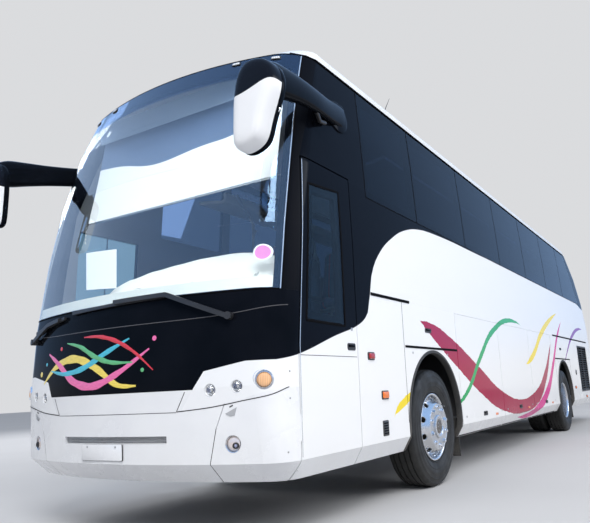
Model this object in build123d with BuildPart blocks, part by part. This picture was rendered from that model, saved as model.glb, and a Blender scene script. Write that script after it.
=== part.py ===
from build123d import *
import math
import os

os.makedirs("parts", exist_ok=True)

# A two-axle high-deck touring coach, in millimetres.
# X points to the coach's left, Y to its rear, Z up; the ground is at Z = 0.
# Stations are distances behind the front axle; the frame's origin is mid-length.

# Main sizes
WHEELBASE = 6050
TAIL = 9500
MIRROR_FRONT = -2880
FRONT_AXLE_Y = -(TAIL + MIRROR_FRONT) / 2
HALF_WIDTH = 1275
SKIRT_Z = 370
CREASE_Z = 490
SKIRT_TUCK = 75
BELT_Z = 1628
WINDOW_Z = 2455
GUTTER_Z = 3440
GUTTER_HALF = 1205
ROOF_Z = 3620
WALL = 50
GLASS = 8
GLASS_GAP = 3
SEAT = 0.4
ROD_PLAY = 0.6
DOOR_GAP = 12
PANEL_GAP = 4

# The hull's outline at each height. The nose is an arc, the corners are smaller arcs.
# Columns: z, half width, nose station, nose radius, front corner, tail set-in, rear corner
HULL = [
    (SKIRT_Z, HALF_WIDTH - SKIRT_TUCK, -2490, 3400, 200, 100, 230),
    (CREASE_Z, HALF_WIDTH, -2625, 3450, 212, 45, 260),
    (950, HALF_WIDTH, -2660, 3600, 250, 10, 290),
    (1470, HALF_WIDTH, -2650, 3600, 280, 0, 300),
    (2000, HALF_WIDTH - 2, -2600, 3600, 330, 70, 310),
    (2500, 1260, -2520, 3600, 380, 270, 320),
    (3000, 1235, -2390, 3500, 370, 640, 330),
    (GUTTER_Z, GUTTER_HALF, -2215, 3300, 310, 1250, 320),
]
TAIL_RADIUS = 7000

# Body seams, as stations
FRONT_SEAM = -2240
DRIVER_DOOR_REAR = -1460
FRONT_DOOR_REAR = -1290
ARCH_PANEL_REAR = 650
HOLD_REAR = 5190
MIDDLE_DOOR = (3850, 4700)
REAR_SEAM = 8750
REAR_SEAM_TOP = 7800
DOOR_TOP_Z = 2520
PILLAR_KNEE_Z = 1200
PILLAR_LEAN = 0.09
PILLAR_LEAN_TOP = 0.36

# Front end. The windscreen wraps round the corners and ends just inside the body's width
MASK_BOTTOM_Z = 940
SCREEN_BOTTOM_Z = 1550
SCREEN_TOP_Z = GUTTER_Z - 10
SCREEN_SET_IN = 46
SCREEN_SILL_Z = SCREEN_BOTTOM_Z - 6
SCREEN_LAPS = (35, 80, 130)

# Wheels: 295/80 R22.5 on 22.5 x 9.00 rims
TYRE_R = 522
TYRE_HALF = 147.5
BEAD_R = 288
RIM_HALF = 125
WHEEL_FACE = 1250
TWIN_PITCH = 330
ARCH_R = 630
ARCH_Z = 580
KINGPIN_X = 870
STEER_ARM = 200

# Floors
PLATFORM_Z = 960
DECK_Z = 1560
FLOOR = 60
HOLD_Z = 540


def station(s):
    """Y of a station behind the front axle."""
    return FRONT_AXLE_Y + s


def hull_row(z):
    """The outline's sizes at a height, between the rows of the table."""
    rows = [row for row in HULL if row[0] <= z] or [HULL[0]]
    low = rows[-1]
    high = HULL[min(len(rows), len(HULL) - 1)]
    t = 0 if high[0] == low[0] else min(max((z - low[0]) / (high[0] - low[0]), 0), 1)
    return [a + (b - a) * t for a, b in zip(low, high)]


def arc_end(half, centre_y, radius, corner, sign):
    """Corner circle and tangent points of a nose (sign -1) or tail (sign +1) arc."""
    x = half - corner
    y = centre_y + sign * math.sqrt((radius - corner) ** 2 - x**2)
    k = radius / (radius - corner)
    tangent = (x * k, centre_y + (y - centre_y) * k)
    angle = (math.atan2(tangent[1] - y, tangent[0] - x)) / 2
    middle = (x + corner * math.cos(angle), y + corner * math.sin(angle))
    return tangent, middle, (half, y)


def plan_points(row, inset):
    """Points of the hull's outline in plan, drawn in by the inset."""
    z, half, nose, nose_r, corner, set_in, rear_corner = row
    half = half - inset
    nose_y = station(nose) + inset
    tail_y = station(TAIL - set_in) - inset
    front = arc_end(half, nose_y + nose_r - inset, nose_r - inset, corner - inset, -1)
    rear = arc_end(half, tail_y - TAIL_RADIUS + inset, TAIL_RADIUS - inset, rear_corner - inset, 1)
    return nose_y, tail_y, front, rear


def plan_sketch(row, inset):
    """The outline as lines and arcs, filled, at its height."""
    nose_y, tail_y, front, rear = plan_points(row, inset)
    left = [front[0], front[1], front[2], rear[2], rear[1], rear[0]]
    right = [(-x, y) for x, y in left]
    with BuildSketch(Plane.XY.offset(row[0])) as outline:
        with BuildLine():
            ThreePointArc(right[0], (0, nose_y), left[0])
            ThreePointArc(left[0], left[1], left[2])
            Line(left[2], left[3])
            ThreePointArc(left[3], left[4], left[5])
            ThreePointArc(left[5], (0, tail_y), right[5])
            ThreePointArc(right[5], right[4], right[3])
            Line(right[3], right[2])
            ThreePointArc(right[2], right[1], right[0])
        make_face()
    return outline.sketch


def hull_solid(inset, low=SKIRT_Z, high=GUTTER_Z):
    """The hull between two heights, drawn in by the inset."""
    rows = [hull_row(low)] + [row for row in HULL if low < row[0] < high] + [hull_row(high)]
    rows = [[z, *row[1:]] for z, row in zip([low] + [row[0] for row in rows[1:-1]] + [high], rows)]
    with BuildPart() as solid:
        loft([plan_sketch(row, inset) for row in rows], ruled=True)
    return solid.part


def nose_y(x, z, inset=0):
    """Y of the front surface at a place across and up."""
    row = hull_row(z)
    y, _, front, _ = plan_points(row, inset)
    if abs(x) <= front[0][0]:
        r = row[3] - inset
        return y + r - math.sqrt(r**2 - x**2)
    r = row[4] - inset
    cx = row[1] - inset - r
    return front[2][1] - math.sqrt(max(r**2 - (abs(x) - cx) ** 2, 0))


def side_prism(outline, x_from, x_to, mode=Mode.INTERSECT):
    """A prism across the coach from an outline of stations and heights."""
    with BuildSketch(Plane.YZ.offset(x_from)) as profile:
        with BuildLine():
            Polyline(*[(station(s), z) for s, z in outline], close=True)
        make_face()
    extrude(profile.sketch, amount=x_to - x_from, mode=mode)


def front_prism(outline, s_from, s_to, mode=Mode.INTERSECT):
    """A prism along the coach from an outline across and up."""
    with BuildSketch(Plane.XZ.offset(-station(s_to))) as profile:
        with BuildLine():
            Polyline(*outline, close=True)
        make_face()
    extrude(profile.sketch, amount=s_to - s_from, mode=mode)


def rectangle(a, b, c, d):
    """Corners of a rectangle from its lower and upper limits."""
    return [(a, c), (b, c), (b, d), (a, d)]


def block(x, s, z, mode=Mode.ADD):
    """A block from its limits across, along and up."""
    centre = ((x[0] + x[1]) / 2, station((s[0] + s[1]) / 2), (z[0] + z[1]) / 2)
    with Locations(centre):
        Box(x[1] - x[0], s[1] - s[0], z[1] - z[0], mode=mode)


def rod(start, end, radius, mode=Mode.ADD):
    """A round bar between two points given as across, station and height."""
    a = Vector(start[0], station(start[1]), start[2])
    b = Vector(end[0], station(end[1]), end[2])
    with BuildSketch(Plane(origin=a, z_dir=b - a)) as profile:
        Circle(radius)
    extrude(profile.sketch, amount=(b - a).length, mode=mode)


def finish(builder, name):
    """Labels a piece and writes it."""
    builder.part.label = name
    export_step(builder.part, f"parts/{name}.step")


# The hull in layers: outer skin, glass, rebate behind the glass, inner face
outer = hull_solid(0)
inner = hull_solid(WALL, SKIRT_Z - 1, GUTTER_Z + 1)
behind_glass = hull_solid(GLASS, SKIRT_Z - 1, GUTTER_Z + 1)
behind_rebate = hull_solid(GLASS + SEAT, SKIRT_Z - 1, GUTTER_Z + 1)
with BuildPart() as shell:
    add(outer)
    add(inner, mode=Mode.SUBTRACT)
with BuildPart() as glass_layer:
    add(outer)
    add(behind_glass, mode=Mode.SUBTRACT)
with BuildPart() as rebate_layer:
    add(outer)
    add(behind_rebate, mode=Mode.SUBTRACT)
FAR = HALF_WIDTH + 100


def across(side):
    """Limits across that take in one side's wall."""
    return (500, FAR) if side > 0 else (-FAR, -500)


def end_of(layer, s_from, s_to):
    """The piece of a layer between two stations."""
    with BuildPart() as piece:
        add(layer.part)
        front_prism(rectangle(-FAR, FAR, 0, 4000), s_from, s_to)
    return piece


def side_of(layer, side):
    """One side's wall of a layer."""
    with BuildPart() as piece:
        add(layer.part)
        side_prism(rectangle(-2450, 9000, 0, 4000), *across(side))
    return piece


NOSE = (-3000, -1000)
REAR_END = (7500, 9900)
nose_shell, nose_glass, nose_rebate = [end_of(layer, *NOSE) for layer in (shell, glass_layer, rebate_layer)]
tail_shell, tail_glass, tail_rebate = [end_of(layer, *REAR_END) for layer in (shell, glass_layer, rebate_layer)]
side_shell, side_glass, side_rebate = [
    {side: side_of(layer, side) for side in (1, -1)} for layer in (shell, glass_layer, rebate_layer)
]


def pillar(z):
    """Station of the seam between windscreen pillar and doors."""
    low = max(min(z, DOOR_TOP_Z) - PILLAR_KNEE_Z, 0)
    return FRONT_SEAM + low * PILLAR_LEAN + max(z - DOOR_TOP_Z, 0) * PILLAR_LEAN_TOP


def slice_of(layer, outline, side):
    """The piece of a layer inside an outline on one side of the coach."""
    with BuildPart() as piece:
        add(layer[side].part)
        side_prism(outline, *across(side))
    return piece.part


# Side walls above the belt, with the bonded glazing band
PANE_TOP_Z = GUTTER_Z - 14
PANE_FRONT = -1180
PANE_FIRST_SEAM = -130
PANE_PITCH = 1400
PANE_SEAM = 8
PANE_REAR = (8510, 7690)
PILLAR_HALF = 60
pane_seams = [PANE_FRONT] + [PANE_FIRST_SEAM + PANE_PITCH * n for n in range(6)]


def pane_outline(n, grow):
    """Outline of the nth side pane, grown by an amount at its edges."""
    low, high = WINDOW_Z + SEAT - grow, PANE_TOP_Z + grow
    front = pane_seams[n] + PANE_SEAM / 2 - grow
    if n + 1 < len(pane_seams):
        rear = pane_seams[n + 1] - PANE_SEAM / 2 + grow
        return rectangle(front, rear, low, high)
    return [(front, low), (PANE_REAR[0] + grow, low), (PANE_REAR[1] + grow, high), (front, high)]


band = [(PANE_FRONT, WINDOW_Z), (PANE_REAR[0] + 6, WINDOW_Z)]
band += [(PANE_REAR[1] + 6, PANE_TOP_Z + 2), (PANE_FRONT, PANE_TOP_Z + 2)]
wall_low = BELT_Z + 4
DOOR_HEAD_Z = DOOR_TOP_Z + DOOR_GAP
wall_outline = {
    1: [(DRIVER_DOOR_REAR, wall_low), (REAR_SEAM, wall_low), (REAR_SEAM, 2200),
        (REAR_SEAM_TOP, GUTTER_Z), (pillar(GUTTER_Z) + SEAT, GUTTER_Z),
        (pillar(DOOR_HEAD_Z) + SEAT, DOOR_HEAD_Z), (DRIVER_DOOR_REAR, DOOR_HEAD_Z)],
    -1: [(FRONT_DOOR_REAR + SEAT, wall_low), (REAR_SEAM, wall_low), (REAR_SEAM, 2200),
         (REAR_SEAM_TOP, GUTTER_Z), (pillar(GUTTER_Z) + SEAT, GUTTER_Z),
         (pillar(DOOR_TOP_Z + SEAT) + SEAT, DOOR_TOP_Z + SEAT), (FRONT_DOOR_REAR + SEAT, DOOR_TOP_Z + SEAT)],
}
FLAP_ROD_R = 6
FLAP_AXIS_X = HALF_WIDTH - 3
left_flaps = [ARCH_PANEL_REAR + (HOLD_REAR - ARCH_PANEL_REAR) / 3 * n for n in range(4)]
right_flaps = [ARCH_PANEL_REAR + (MIDDLE_DOOR[0] - ARCH_PANEL_REAR) / 2 * n for n in range(3)]
flap_seams = {1: left_flaps, -1: right_flaps}
side_name = {1: "left", -1: "right"}
for side in (1, -1):
    with BuildPart() as side_wall:
        add(side_shell[side].part)
        side_prism(wall_outline[side], *across(side))
        add(slice_of(side_rebate, band, side), mode=Mode.SUBTRACT)
        for n in range(len(pane_seams)):
            side_prism(pane_outline(n, -PILLAR_HALF), *across(side), mode=Mode.SUBTRACT)
        if side < 0:
            side_prism(rectangle(*MIDDLE_DOOR, wall_low - 1, 2400 + SEAT), *across(side), mode=Mode.SUBTRACT)
        for front, rear in zip(flap_seams[side], flap_seams[side][1:]):
            rod((side * FLAP_AXIS_X, front + DOOR_GAP, BELT_Z), (side * FLAP_AXIS_X, rear - DOOR_GAP, BELT_Z),
                FLAP_ROD_R)
    finish(side_wall, f"side_wall_{side_name[side]}")

panes = [slice_of(side_glass, pane_outline(n, 0), side) for side in (1, -1) for n in range(len(pane_seams))]
with BuildPart() as side_windows:
    add(panes)
finish(side_windows, "side_windows")

# Front end: windscreen in its frame, black mask, headlamp pods, bumper with corner flaps


def nose_region(z_from, z_to):
    """Side outline of the front end ahead of the door seams, between two heights."""
    knees = [(pillar(z), z) for z in (PILLAR_KNEE_Z, DOOR_TOP_Z) if z_from < z < z_to]
    return [(-3000, z_from), (pillar(z_from), z_from), *knees, (pillar(z_to), z_to), (-3000, z_to)]


def screen_outline(side, bottom, top):
    """Outline of the windscreen, drawn in by an amount at its sides, bottom and top."""
    heights = [SCREEN_BOTTOM_Z + bottom, 2000, 2500, 3000, SCREEN_TOP_Z - top]
    left = [(hull_row(z)[1] - SCREEN_SET_IN - side, z) for z in heights]
    return left + [(-x, z) for x, z in reversed(left)]


with BuildPart() as screen_rebate:
    add(nose_rebate.part)
    front_prism(screen_outline(-GLASS_GAP, -GLASS_GAP, -GLASS_GAP), *NOSE)
with BuildPart() as windscreen_frame:
    add(nose_shell.part)
    side_prism(nose_region(SCREEN_SILL_Z, GUTTER_Z), -FAR, FAR)
    add(screen_rebate.part, mode=Mode.SUBTRACT)
    front_prism(screen_outline(*SCREEN_LAPS), *NOSE, mode=Mode.SUBTRACT)
finish(windscreen_frame, "windscreen_frame")

with BuildPart() as windscreen:
    add(nose_glass.part)
    front_prism(screen_outline(0, 0, 0), *NOSE)
finish(windscreen, "windscreen")

# Headlamp pods, seen from the front: across and up, from the inner top corner round
pod = [(780, 1050), (1300, 1145), (1300, 935), (1150, 905), (990, 862), (800, 830), (620, 818)]
pod_right = [(-x, z) for x, z in pod]
with BuildPart() as mask_shell:
    add(nose_shell.part)
    side_prism(nose_region(MASK_BOTTOM_Z, SCREEN_SILL_Z - SEAT), -FAR, FAR)
    front_prism(pod, -3000, -1500, mode=Mode.SUBTRACT)
    front_prism(pod_right, -3000, -1500, mode=Mode.SUBTRACT)

# Lamps in pods and bumper. Columns: across, height, radius, heading out from straight ahead in degrees
LAMPS = [
    (825, 933, 40, 13),
    (1001, 949, 40, 15),
    (1166, 981, 58, 30),
    (957, 609, 52, 15),
]
LAMP_DEPTH = 46


def lamp_plane(x, z, heading):
    """A plane on the front skin that looks out along the lamp's heading."""
    a = math.radians(heading)
    return Plane(origin=(x, nose_y(x, z), z), x_dir=(math.cos(a), math.sin(a), 0),
                 z_dir=(math.sin(a), -math.cos(a), 0))


def lamp_bar(x, z, radius, heading, back, front, mode=Mode.ADD):
    """A round bar on a lamp's axis, from behind the skin to before it."""
    with BuildSketch(lamp_plane(x, z, heading).offset(-back)) as profile:
        Circle(radius)
    extrude(profile.sketch, amount=back + front, mode=mode)


with BuildPart() as left_pod:
    add(nose_shell.part)
    front_prism(pod, -3000, -1500)
    side_prism(nose_region(800, 1300), -FAR, FAR)
    for x, z, radius, heading in LAMPS[:3]:
        lamp_bar(x, z, radius, heading, 150, 100, mode=Mode.SUBTRACT)
with BuildPart() as headlamp_pods:
    add(left_pod.part)
    mirror(left_pod.part, about=Plane.YZ)
finish(headlamp_pods, "headlamp_pods")

lens_list = []
for x, z, radius, heading in LAMPS:
    plane = lamp_plane(x, z, heading)
    with BuildPart() as lens:
        with BuildSketch(plane.offset(-LAMP_DEPTH)) as lens_base:
            Circle(radius - SEAT)
        extrude(lens_base.sketch, amount=LAMP_DEPTH - 16)
        chamfer(lens.faces().sort_by(Axis((0, 0, 0), plane.z_dir))[-1].edges(), 6)
    lens_list += [lens.part, lens.part.mirror(Plane.YZ)]
with BuildPart() as front_lamps:
    add(lens_list)
finish(front_lamps, "front_lamps")

# The bumper's slot and the seams of its corner flaps, across and up
SLOT = rectangle(-500, 500, 618, 664)
corner_flap = [(790, SKIRT_Z - 5), (800, CREASE_Z), (850, 700), (935, 900), (950, MASK_BOTTOM_Z + 5),
               (1300, MASK_BOTTOM_Z + 5), (1300, SKIRT_Z - 5)]
corner_flap_right = [(-x, z) for x, z in corner_flap]
with BuildPart() as bumper_shell:
    add(nose_shell.part)
    side_prism([(-3000, SKIRT_Z), (FRONT_SEAM, SKIRT_Z), (FRONT_SEAM, 1000), (-3000, 1000)], -FAR, FAR)
    front_prism(rectangle(-1300, 1300, MASK_BOTTOM_Z - SEAT, 1100), -3000, -1500, mode=Mode.SUBTRACT)
    front_prism(pod, -3000, -1500, mode=Mode.SUBTRACT)
    front_prism(pod_right, -3000, -1500, mode=Mode.SUBTRACT)
with BuildPart() as bumper_middle:
    add(bumper_shell.part)
    front_prism(corner_flap, -3000, -1500, mode=Mode.SUBTRACT)
    front_prism(corner_flap_right, -3000, -1500, mode=Mode.SUBTRACT)
    front_prism(SLOT, -3000, -1500, mode=Mode.SUBTRACT)
    for bar_z in (633, 649):
        with BuildSketch(Plane.XY.offset(bar_z - 2)) as bar:
            with BuildLine():
                ThreePointArc((-510, nose_y(510, bar_z) + 30), (0, nose_y(0, bar_z) + 30),
                              (510, nose_y(510, bar_z) + 30))
                Line((510, nose_y(510, bar_z) + 30), (510, nose_y(510, bar_z) + 44))
                ThreePointArc((510, nose_y(510, bar_z) + 44), (0, nose_y(0, bar_z) + 44),
                              (-510, nose_y(510, bar_z) + 44))
                Line((-510, nose_y(510, bar_z) + 44), (-510, nose_y(510, bar_z) + 30))
            make_face()
        extrude(bar.sketch, amount=5)

# Hinge rods of the driver's door stand in its front seam, one on the bumper and one on the mask
DOOR_ROD_R = 7
DOOR_AXIS = (HALF_WIDTH - 3, FRONT_SEAM + DOOR_GAP / 2)
DOOR_RODS_Z = [(600, 760), (1155, PILLAR_KNEE_Z)]


def door_rod(low, high, radius, mode=Mode.ADD):
    """A round bar on the axis of the driver's door."""
    rod((*DOOR_AXIS, low), (*DOOR_AXIS, high), radius, mode)


with BuildPart() as left_corner:
    add(bumper_shell.part)
    front_prism([(x + PANEL_GAP, z - PANEL_GAP) for x, z in corner_flap], -3000, -1500)
    x, z, radius, heading = LAMPS[3]
    lamp_bar(x, z, radius, heading, 150, 100, mode=Mode.SUBTRACT)
with BuildPart() as front_bumper:
    add(bumper_middle.part)
    add(left_corner.part)
    mirror(left_corner.part, about=Plane.YZ)
    door_rod(*DOOR_RODS_Z[0], DOOR_ROD_R)
finish(front_bumper, "front_bumper")
with BuildPart() as front_mask:
    add(mask_shell.part)
    door_rod(*DOOR_RODS_Z[1], DOOR_ROD_R)
finish(front_mask, "front_mask")

# Driver's door: outline in stations and heights, with a window of its own
door_front = FRONT_SEAM + DOOR_GAP
door_rear = DRIVER_DOOR_REAR - DOOR_GAP
door_outline = [(door_front, SKIRT_Z), (door_front, PILLAR_KNEE_Z),
                (pillar(DOOR_TOP_Z) + DOOR_GAP, DOOR_TOP_Z), (door_rear, DOOR_TOP_Z), (door_rear, SKIRT_Z)]
door_pane = [(-2135, 1360), (-2050, 2335), (-1640, 2370), (-1640, 1350)]
door_pane_step = [(-2138, 1357), (-2053, 2339), (-1637, 2374), (-1637, 1347)]
door_hole = [(-2075, 1420), (-2000, 2280), (-1700, 2305), (-1700, 1410)]
with BuildPart() as drivers_door:
    add(side_shell[1].part)
    side_prism(door_outline, 500, FAR)
    add(slice_of(side_rebate, door_pane_step, 1), mode=Mode.SUBTRACT)
    side_prism(door_hole, 500, FAR, mode=Mode.SUBTRACT)
    for low, high in DOOR_RODS_Z:
        door_rod(low - DOOR_GAP, high + DOOR_GAP, DOOR_ROD_R + ROD_PLAY, Mode.SUBTRACT)
finish(drivers_door, "drivers_door")
with BuildPart() as drivers_door_glass:
    add(slice_of(side_glass, door_pane, 1))
finish(drivers_door_glass, "drivers_door_glass")

# Passenger doors on the right: frame and two panes each
def inset_rectangle(a, b, c, d, by):
    """A rectangle drawn in on every side."""
    return rectangle(a + by, b - by, c + by, d - by)


DOORS = [
    # front, rear, top, pane sill, pane head, lower pane sill, lower pane head
    (FRONT_SEAM + SEAT, FRONT_DOOR_REAR, 2520, 1330, 2440, 640, 1270),
    (MIDDLE_DOOR[0] + SEAT, MIDDLE_DOOR[1] - SEAT, 2400, 1330, 2330, 640, 1270),
]
door_leaves = []
door_panes = []
for front, rear, top, sill, head, low_sill, low_head in DOORS:
    frame_front = front + 70 if front > 0 else front + 130
    lights = [(frame_front, rear - 70, sill, head), (frame_front, rear - 70, low_sill, low_head)]
    leaf_outline = rectangle(front, rear, SKIRT_Z, top)
    if front < 0:
        leaf_outline = [(front, SKIRT_Z), (front, PILLAR_KNEE_Z), (pillar(top) + SEAT, top), (rear, top),
                        (rear, SKIRT_Z)]
    with BuildPart() as leaf:
        add(side_shell[-1].part)
        side_prism(leaf_outline, -FAR, -500)
        for light in lights:
            add(slice_of(side_rebate, inset_rectangle(*light, -GLASS_GAP), -1), mode=Mode.SUBTRACT)
            side_prism(inset_rectangle(*light, 45), -FAR, -500, mode=Mode.SUBTRACT)
    door_leaves.append(leaf.part)
    door_panes += [slice_of(side_glass, rectangle(*light), -1) for light in lights]
with BuildPart() as passenger_doors:
    add(door_leaves)
finish(passenger_doors, "passenger_doors")
with BuildPart() as passenger_door_glass:
    add(door_panes)
finish(passenger_door_glass, "passenger_door_glass")


def arch_cut(centre, mode=Mode.SUBTRACT):
    """A wheel arch through both sides: a half circle on straight legs."""
    with BuildSketch(Plane.YZ.offset(-FAR)) as arch:
        with Locations((station(centre), ARCH_Z)):
            Circle(ARCH_R)
        with Locations((station(centre), ARCH_Z - ARCH_R / 2)):
            Rectangle(2 * ARCH_R, ARCH_R)
    extrude(arch.sketch, amount=2 * FAR, mode=mode)


# Quarter panels over the front and rear wheels, with the radiator openings at the rear
GRILLE = (7590, 8640, 620, 1530)
QUARTERS = [
    # side, place, front, rear
    (1, "front", DRIVER_DOOR_REAR, ARCH_PANEL_REAR),
    (-1, "front", FRONT_DOOR_REAR + SEAT, ARCH_PANEL_REAR),
    (1, "rear", HOLD_REAR, REAR_SEAM),
    (-1, "rear", MIDDLE_DOOR[1], REAR_SEAM),
]
quarter_parts = {"front": [], "rear": []}
for side, place, front, rear in QUARTERS:
    with BuildPart() as quarter:
        add(side_shell[side].part)
        side_prism(rectangle(front, rear, SKIRT_Z, wall_low - SEAT), *across(side))
        arch_cut(0 if place == "front" else WHEELBASE)
        if place == "rear":
            side_prism(rectangle(*GRILLE), *across(side), mode=Mode.SUBTRACT)
    quarter_parts[place].append(quarter.part)
with BuildPart() as front_quarters:
    add(quarter_parts["front"])
finish(front_quarters, "front_quarters")
with BuildPart() as rear_quarters:
    add(quarter_parts["rear"])
finish(rear_quarters, "rear_quarters")

# Radiator grilles: two columns of slanted louvres in a frame
GRILLE_RIM = 30
LOUVRE_PITCH = 46
LOUVRE_T = 5
grille_mid = (GRILLE[0] + GRILLE[1]) / 2
louvre_count = int((GRILLE[3] - GRILLE[2] - 2 * GRILLE_RIM) // LOUVRE_PITCH)
grille_sides = []
for side in (1, -1):
    face_x = side * (HALF_WIDTH - 6)
    back_x = side * (HALF_WIDTH - 44)
    with BuildPart() as grille:
        side_prism(inset_rectangle(*GRILLE, SEAT), min(face_x, back_x), max(face_x, back_x), mode=Mode.ADD)
        for a, b in ((GRILLE[0] + GRILLE_RIM, grille_mid - 16), (grille_mid + 16, GRILLE[1] - GRILLE_RIM)):
            side_prism(rectangle(a, b, GRILLE[2] + GRILLE_RIM, GRILLE[3] - GRILLE_RIM), -FAR, FAR,
                       mode=Mode.SUBTRACT)
        for n in range(louvre_count):
            z = GRILLE[2] + GRILLE_RIM + LOUVRE_PITCH * (n + 0.5)
            with BuildSketch(Plane.XZ.offset(-station(GRILLE[1] - 10))) as louvre:
                with BuildLine():
                    Polyline((side * (HALF_WIDTH - 8), z - 14), (side * (HALF_WIDTH - 42), z + 14 - LOUVRE_T),
                             (side * (HALF_WIDTH - 42), z + 14), (side * (HALF_WIDTH - 8), z - 14 + LOUVRE_T),
                             close=True)
                make_face()
            extrude(louvre.sketch, amount=GRILLE[1] - GRILLE[0] - 20)
    grille_sides.append(grille.part)
with BuildPart() as radiator_grilles:
    add(grille_sides)
finish(radiator_grilles, "radiator_grilles")

# Luggage flaps hang from rods in the belt moulding
for side, seams in flap_seams.items():
    for n in range(len(seams) - 1):
        front = seams[n] + DOOR_GAP / 2 + (DOOR_GAP / 2 if n == 0 else 0)
        rear = seams[n + 1] - DOOR_GAP / 2 - (DOOR_GAP / 2 if n == len(seams) - 2 else 0)
        with BuildPart() as flap:
            add(side_shell[side].part)
            side_prism(rectangle(front, rear, SKIRT_Z, BELT_Z - 4), *across(side))
            rod((side * FLAP_AXIS_X, front - 10, BELT_Z), (side * FLAP_AXIS_X, rear + 10, BELT_Z),
                FLAP_ROD_R + ROD_PLAY, mode=Mode.SUBTRACT)
        finish(flap, f"luggage_flap_{side_name[side]}_{n + 1}")

# Rear end: wall with window and lamp columns, engine lid, bumper
REAR_BUMPER_Z = 780
LID_TOP_Z = 1700
LID_HALF = 950
LID_ROD_R = 7
LID_AXIS_S = TAIL - hull_row(LID_TOP_Z + DOOR_GAP / 2)[5] - 5
rear_front = REAR_SEAM + SEAT
rear_region = [(rear_front, REAR_BUMPER_Z + SEAT), (9900, REAR_BUMPER_Z + SEAT), (9900, GUTTER_Z),
               (REAR_SEAM_TOP + SEAT, GUTTER_Z), (rear_front, 2200)]
REAR_PANE = (-1000, 1000, 2380, 3330)
REAR_LAP = 60
TAIL_LAMPS = rectangle(1010, 1130, 1000, 1560)
with BuildPart() as rear_rebate:
    add(tail_rebate.part)
    front_prism(inset_rectangle(*REAR_PANE, -GLASS_GAP), 8000, 9900)
with BuildPart() as rear_wall:
    add(tail_shell.part)
    side_prism(rear_region, -FAR, FAR)
    front_prism(rectangle(-LID_HALF - DOOR_GAP, LID_HALF + DOOR_GAP, REAR_BUMPER_Z - 5, LID_TOP_Z + DOOR_GAP),
                9000, 9900, mode=Mode.SUBTRACT)
    add(rear_rebate.part, mode=Mode.SUBTRACT)
    front_prism(inset_rectangle(*REAR_PANE, REAR_LAP), 8000, 9900, mode=Mode.SUBTRACT)
    front_prism(TAIL_LAMPS, 8900, 9900, mode=Mode.SUBTRACT)
    front_prism([(-x, z) for x, z in TAIL_LAMPS], 8900, 9900, mode=Mode.SUBTRACT)
    for x in (-300, 150):
        rod((x, LID_AXIS_S, LID_TOP_Z + 6), (x + 150, LID_AXIS_S, LID_TOP_Z + 6), LID_ROD_R)
finish(rear_wall, "rear_wall")
with BuildPart() as rear_window:
    add(tail_glass.part)
    front_prism(rectangle(*REAR_PANE), 8000, 9900)
finish(rear_window, "rear_window")
with BuildPart() as engine_lid:
    add(tail_shell.part)
    front_prism(rectangle(-LID_HALF, LID_HALF, REAR_BUMPER_Z + DOOR_GAP, LID_TOP_Z), 9000, 9900)
    for x in (-310, 140):
        rod((x, LID_AXIS_S, LID_TOP_Z + 6), (x + 170, LID_AXIS_S, LID_TOP_Z + 6), LID_ROD_R + ROD_PLAY,
            mode=Mode.SUBTRACT)
finish(engine_lid, "engine_lid")
with BuildPart() as rear_bumper:
    add(tail_shell.part)
    side_prism(rectangle(rear_front, 9900, SKIRT_Z, REAR_BUMPER_Z), -FAR, FAR)
finish(rear_bumper, "rear_bumper")
lamp_layers = []
for sign in (1, -1):
    with BuildPart() as lamp_column:
        add(tail_shell.part)
        column = inset_rectangle(TAIL_LAMPS[0][0], TAIL_LAMPS[1][0], TAIL_LAMPS[0][1], TAIL_LAMPS[2][1], SEAT)
        front_prism([(sign * x, z) for x, z in column], 8900, 9900)
    lamp_layers.append(lamp_column.part)
with BuildPart() as tail_lamps:
    add(lamp_layers)
finish(tail_lamps, "tail_lamps")

# Roof: plan outline drawn up to an arched crown, as thick as the body's walls
ROOF_THICK = 60
ROOF_CORNER = 90
ROOF_EDGE_Z = 3545
ARCH_HALF = GUTTER_HALF + 5
roof_rows = [
    [GUTTER_Z + SEAT, *HULL[-1][1:]],
    [ROOF_Z + 40, GUTTER_HALF, -1860, 3200, 290, 1900, 320],
]


def roof_form(inset):
    """The roof's outer form, or the hollow under it when drawn in."""
    low = roof_rows[0][0] - (1 if inset else 0)
    half = ARCH_HALF - inset
    edge = ROOF_EDGE_Z - inset
    with BuildSketch(Plane.XZ.offset(-station(TAIL))) as arch:
        with BuildLine():
            Polyline((-half, edge), (-half, low - 5), (half, low - 5), (half, edge))
            ThreePointArc((half, edge), (0, ROOF_Z - inset), (-half, edge))
        make_face()
        fillet(arch.vertices().group_by(Axis.Y)[-1], ROOF_CORNER - inset)
    with BuildPart() as form:
        loft([plan_sketch([low, *roof_rows[0][1:]], inset), plan_sketch(roof_rows[1], inset)], ruled=True)
        extrude(arch.sketch, amount=TAIL + 3000, mode=Mode.INTERSECT)
    return form.part


with BuildPart() as roof:
    add(roof_form(0))
    add(roof_form(ROOF_THICK), mode=Mode.SUBTRACT)
finish(roof, "roof")

# Roof unit over the middle of the roof, and a hatch ahead of it
UNIT = (1070, 7420)
UNIT_HALF = 1090
UNIT_EDGE_Z = 3590
UNIT_TOP_Z = 3700
CROWN_R = (ARCH_HALF**2 + (ROOF_Z - ROOF_EDGE_Z) ** 2) / (2 * (ROOF_Z - ROOF_EDGE_Z))


def crown_z(x, lift=SEAT):
    """Height of the roof's arch at a place across."""
    return ROOF_Z + lift - CROWN_R + math.sqrt(CROWN_R**2 - x**2)


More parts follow.
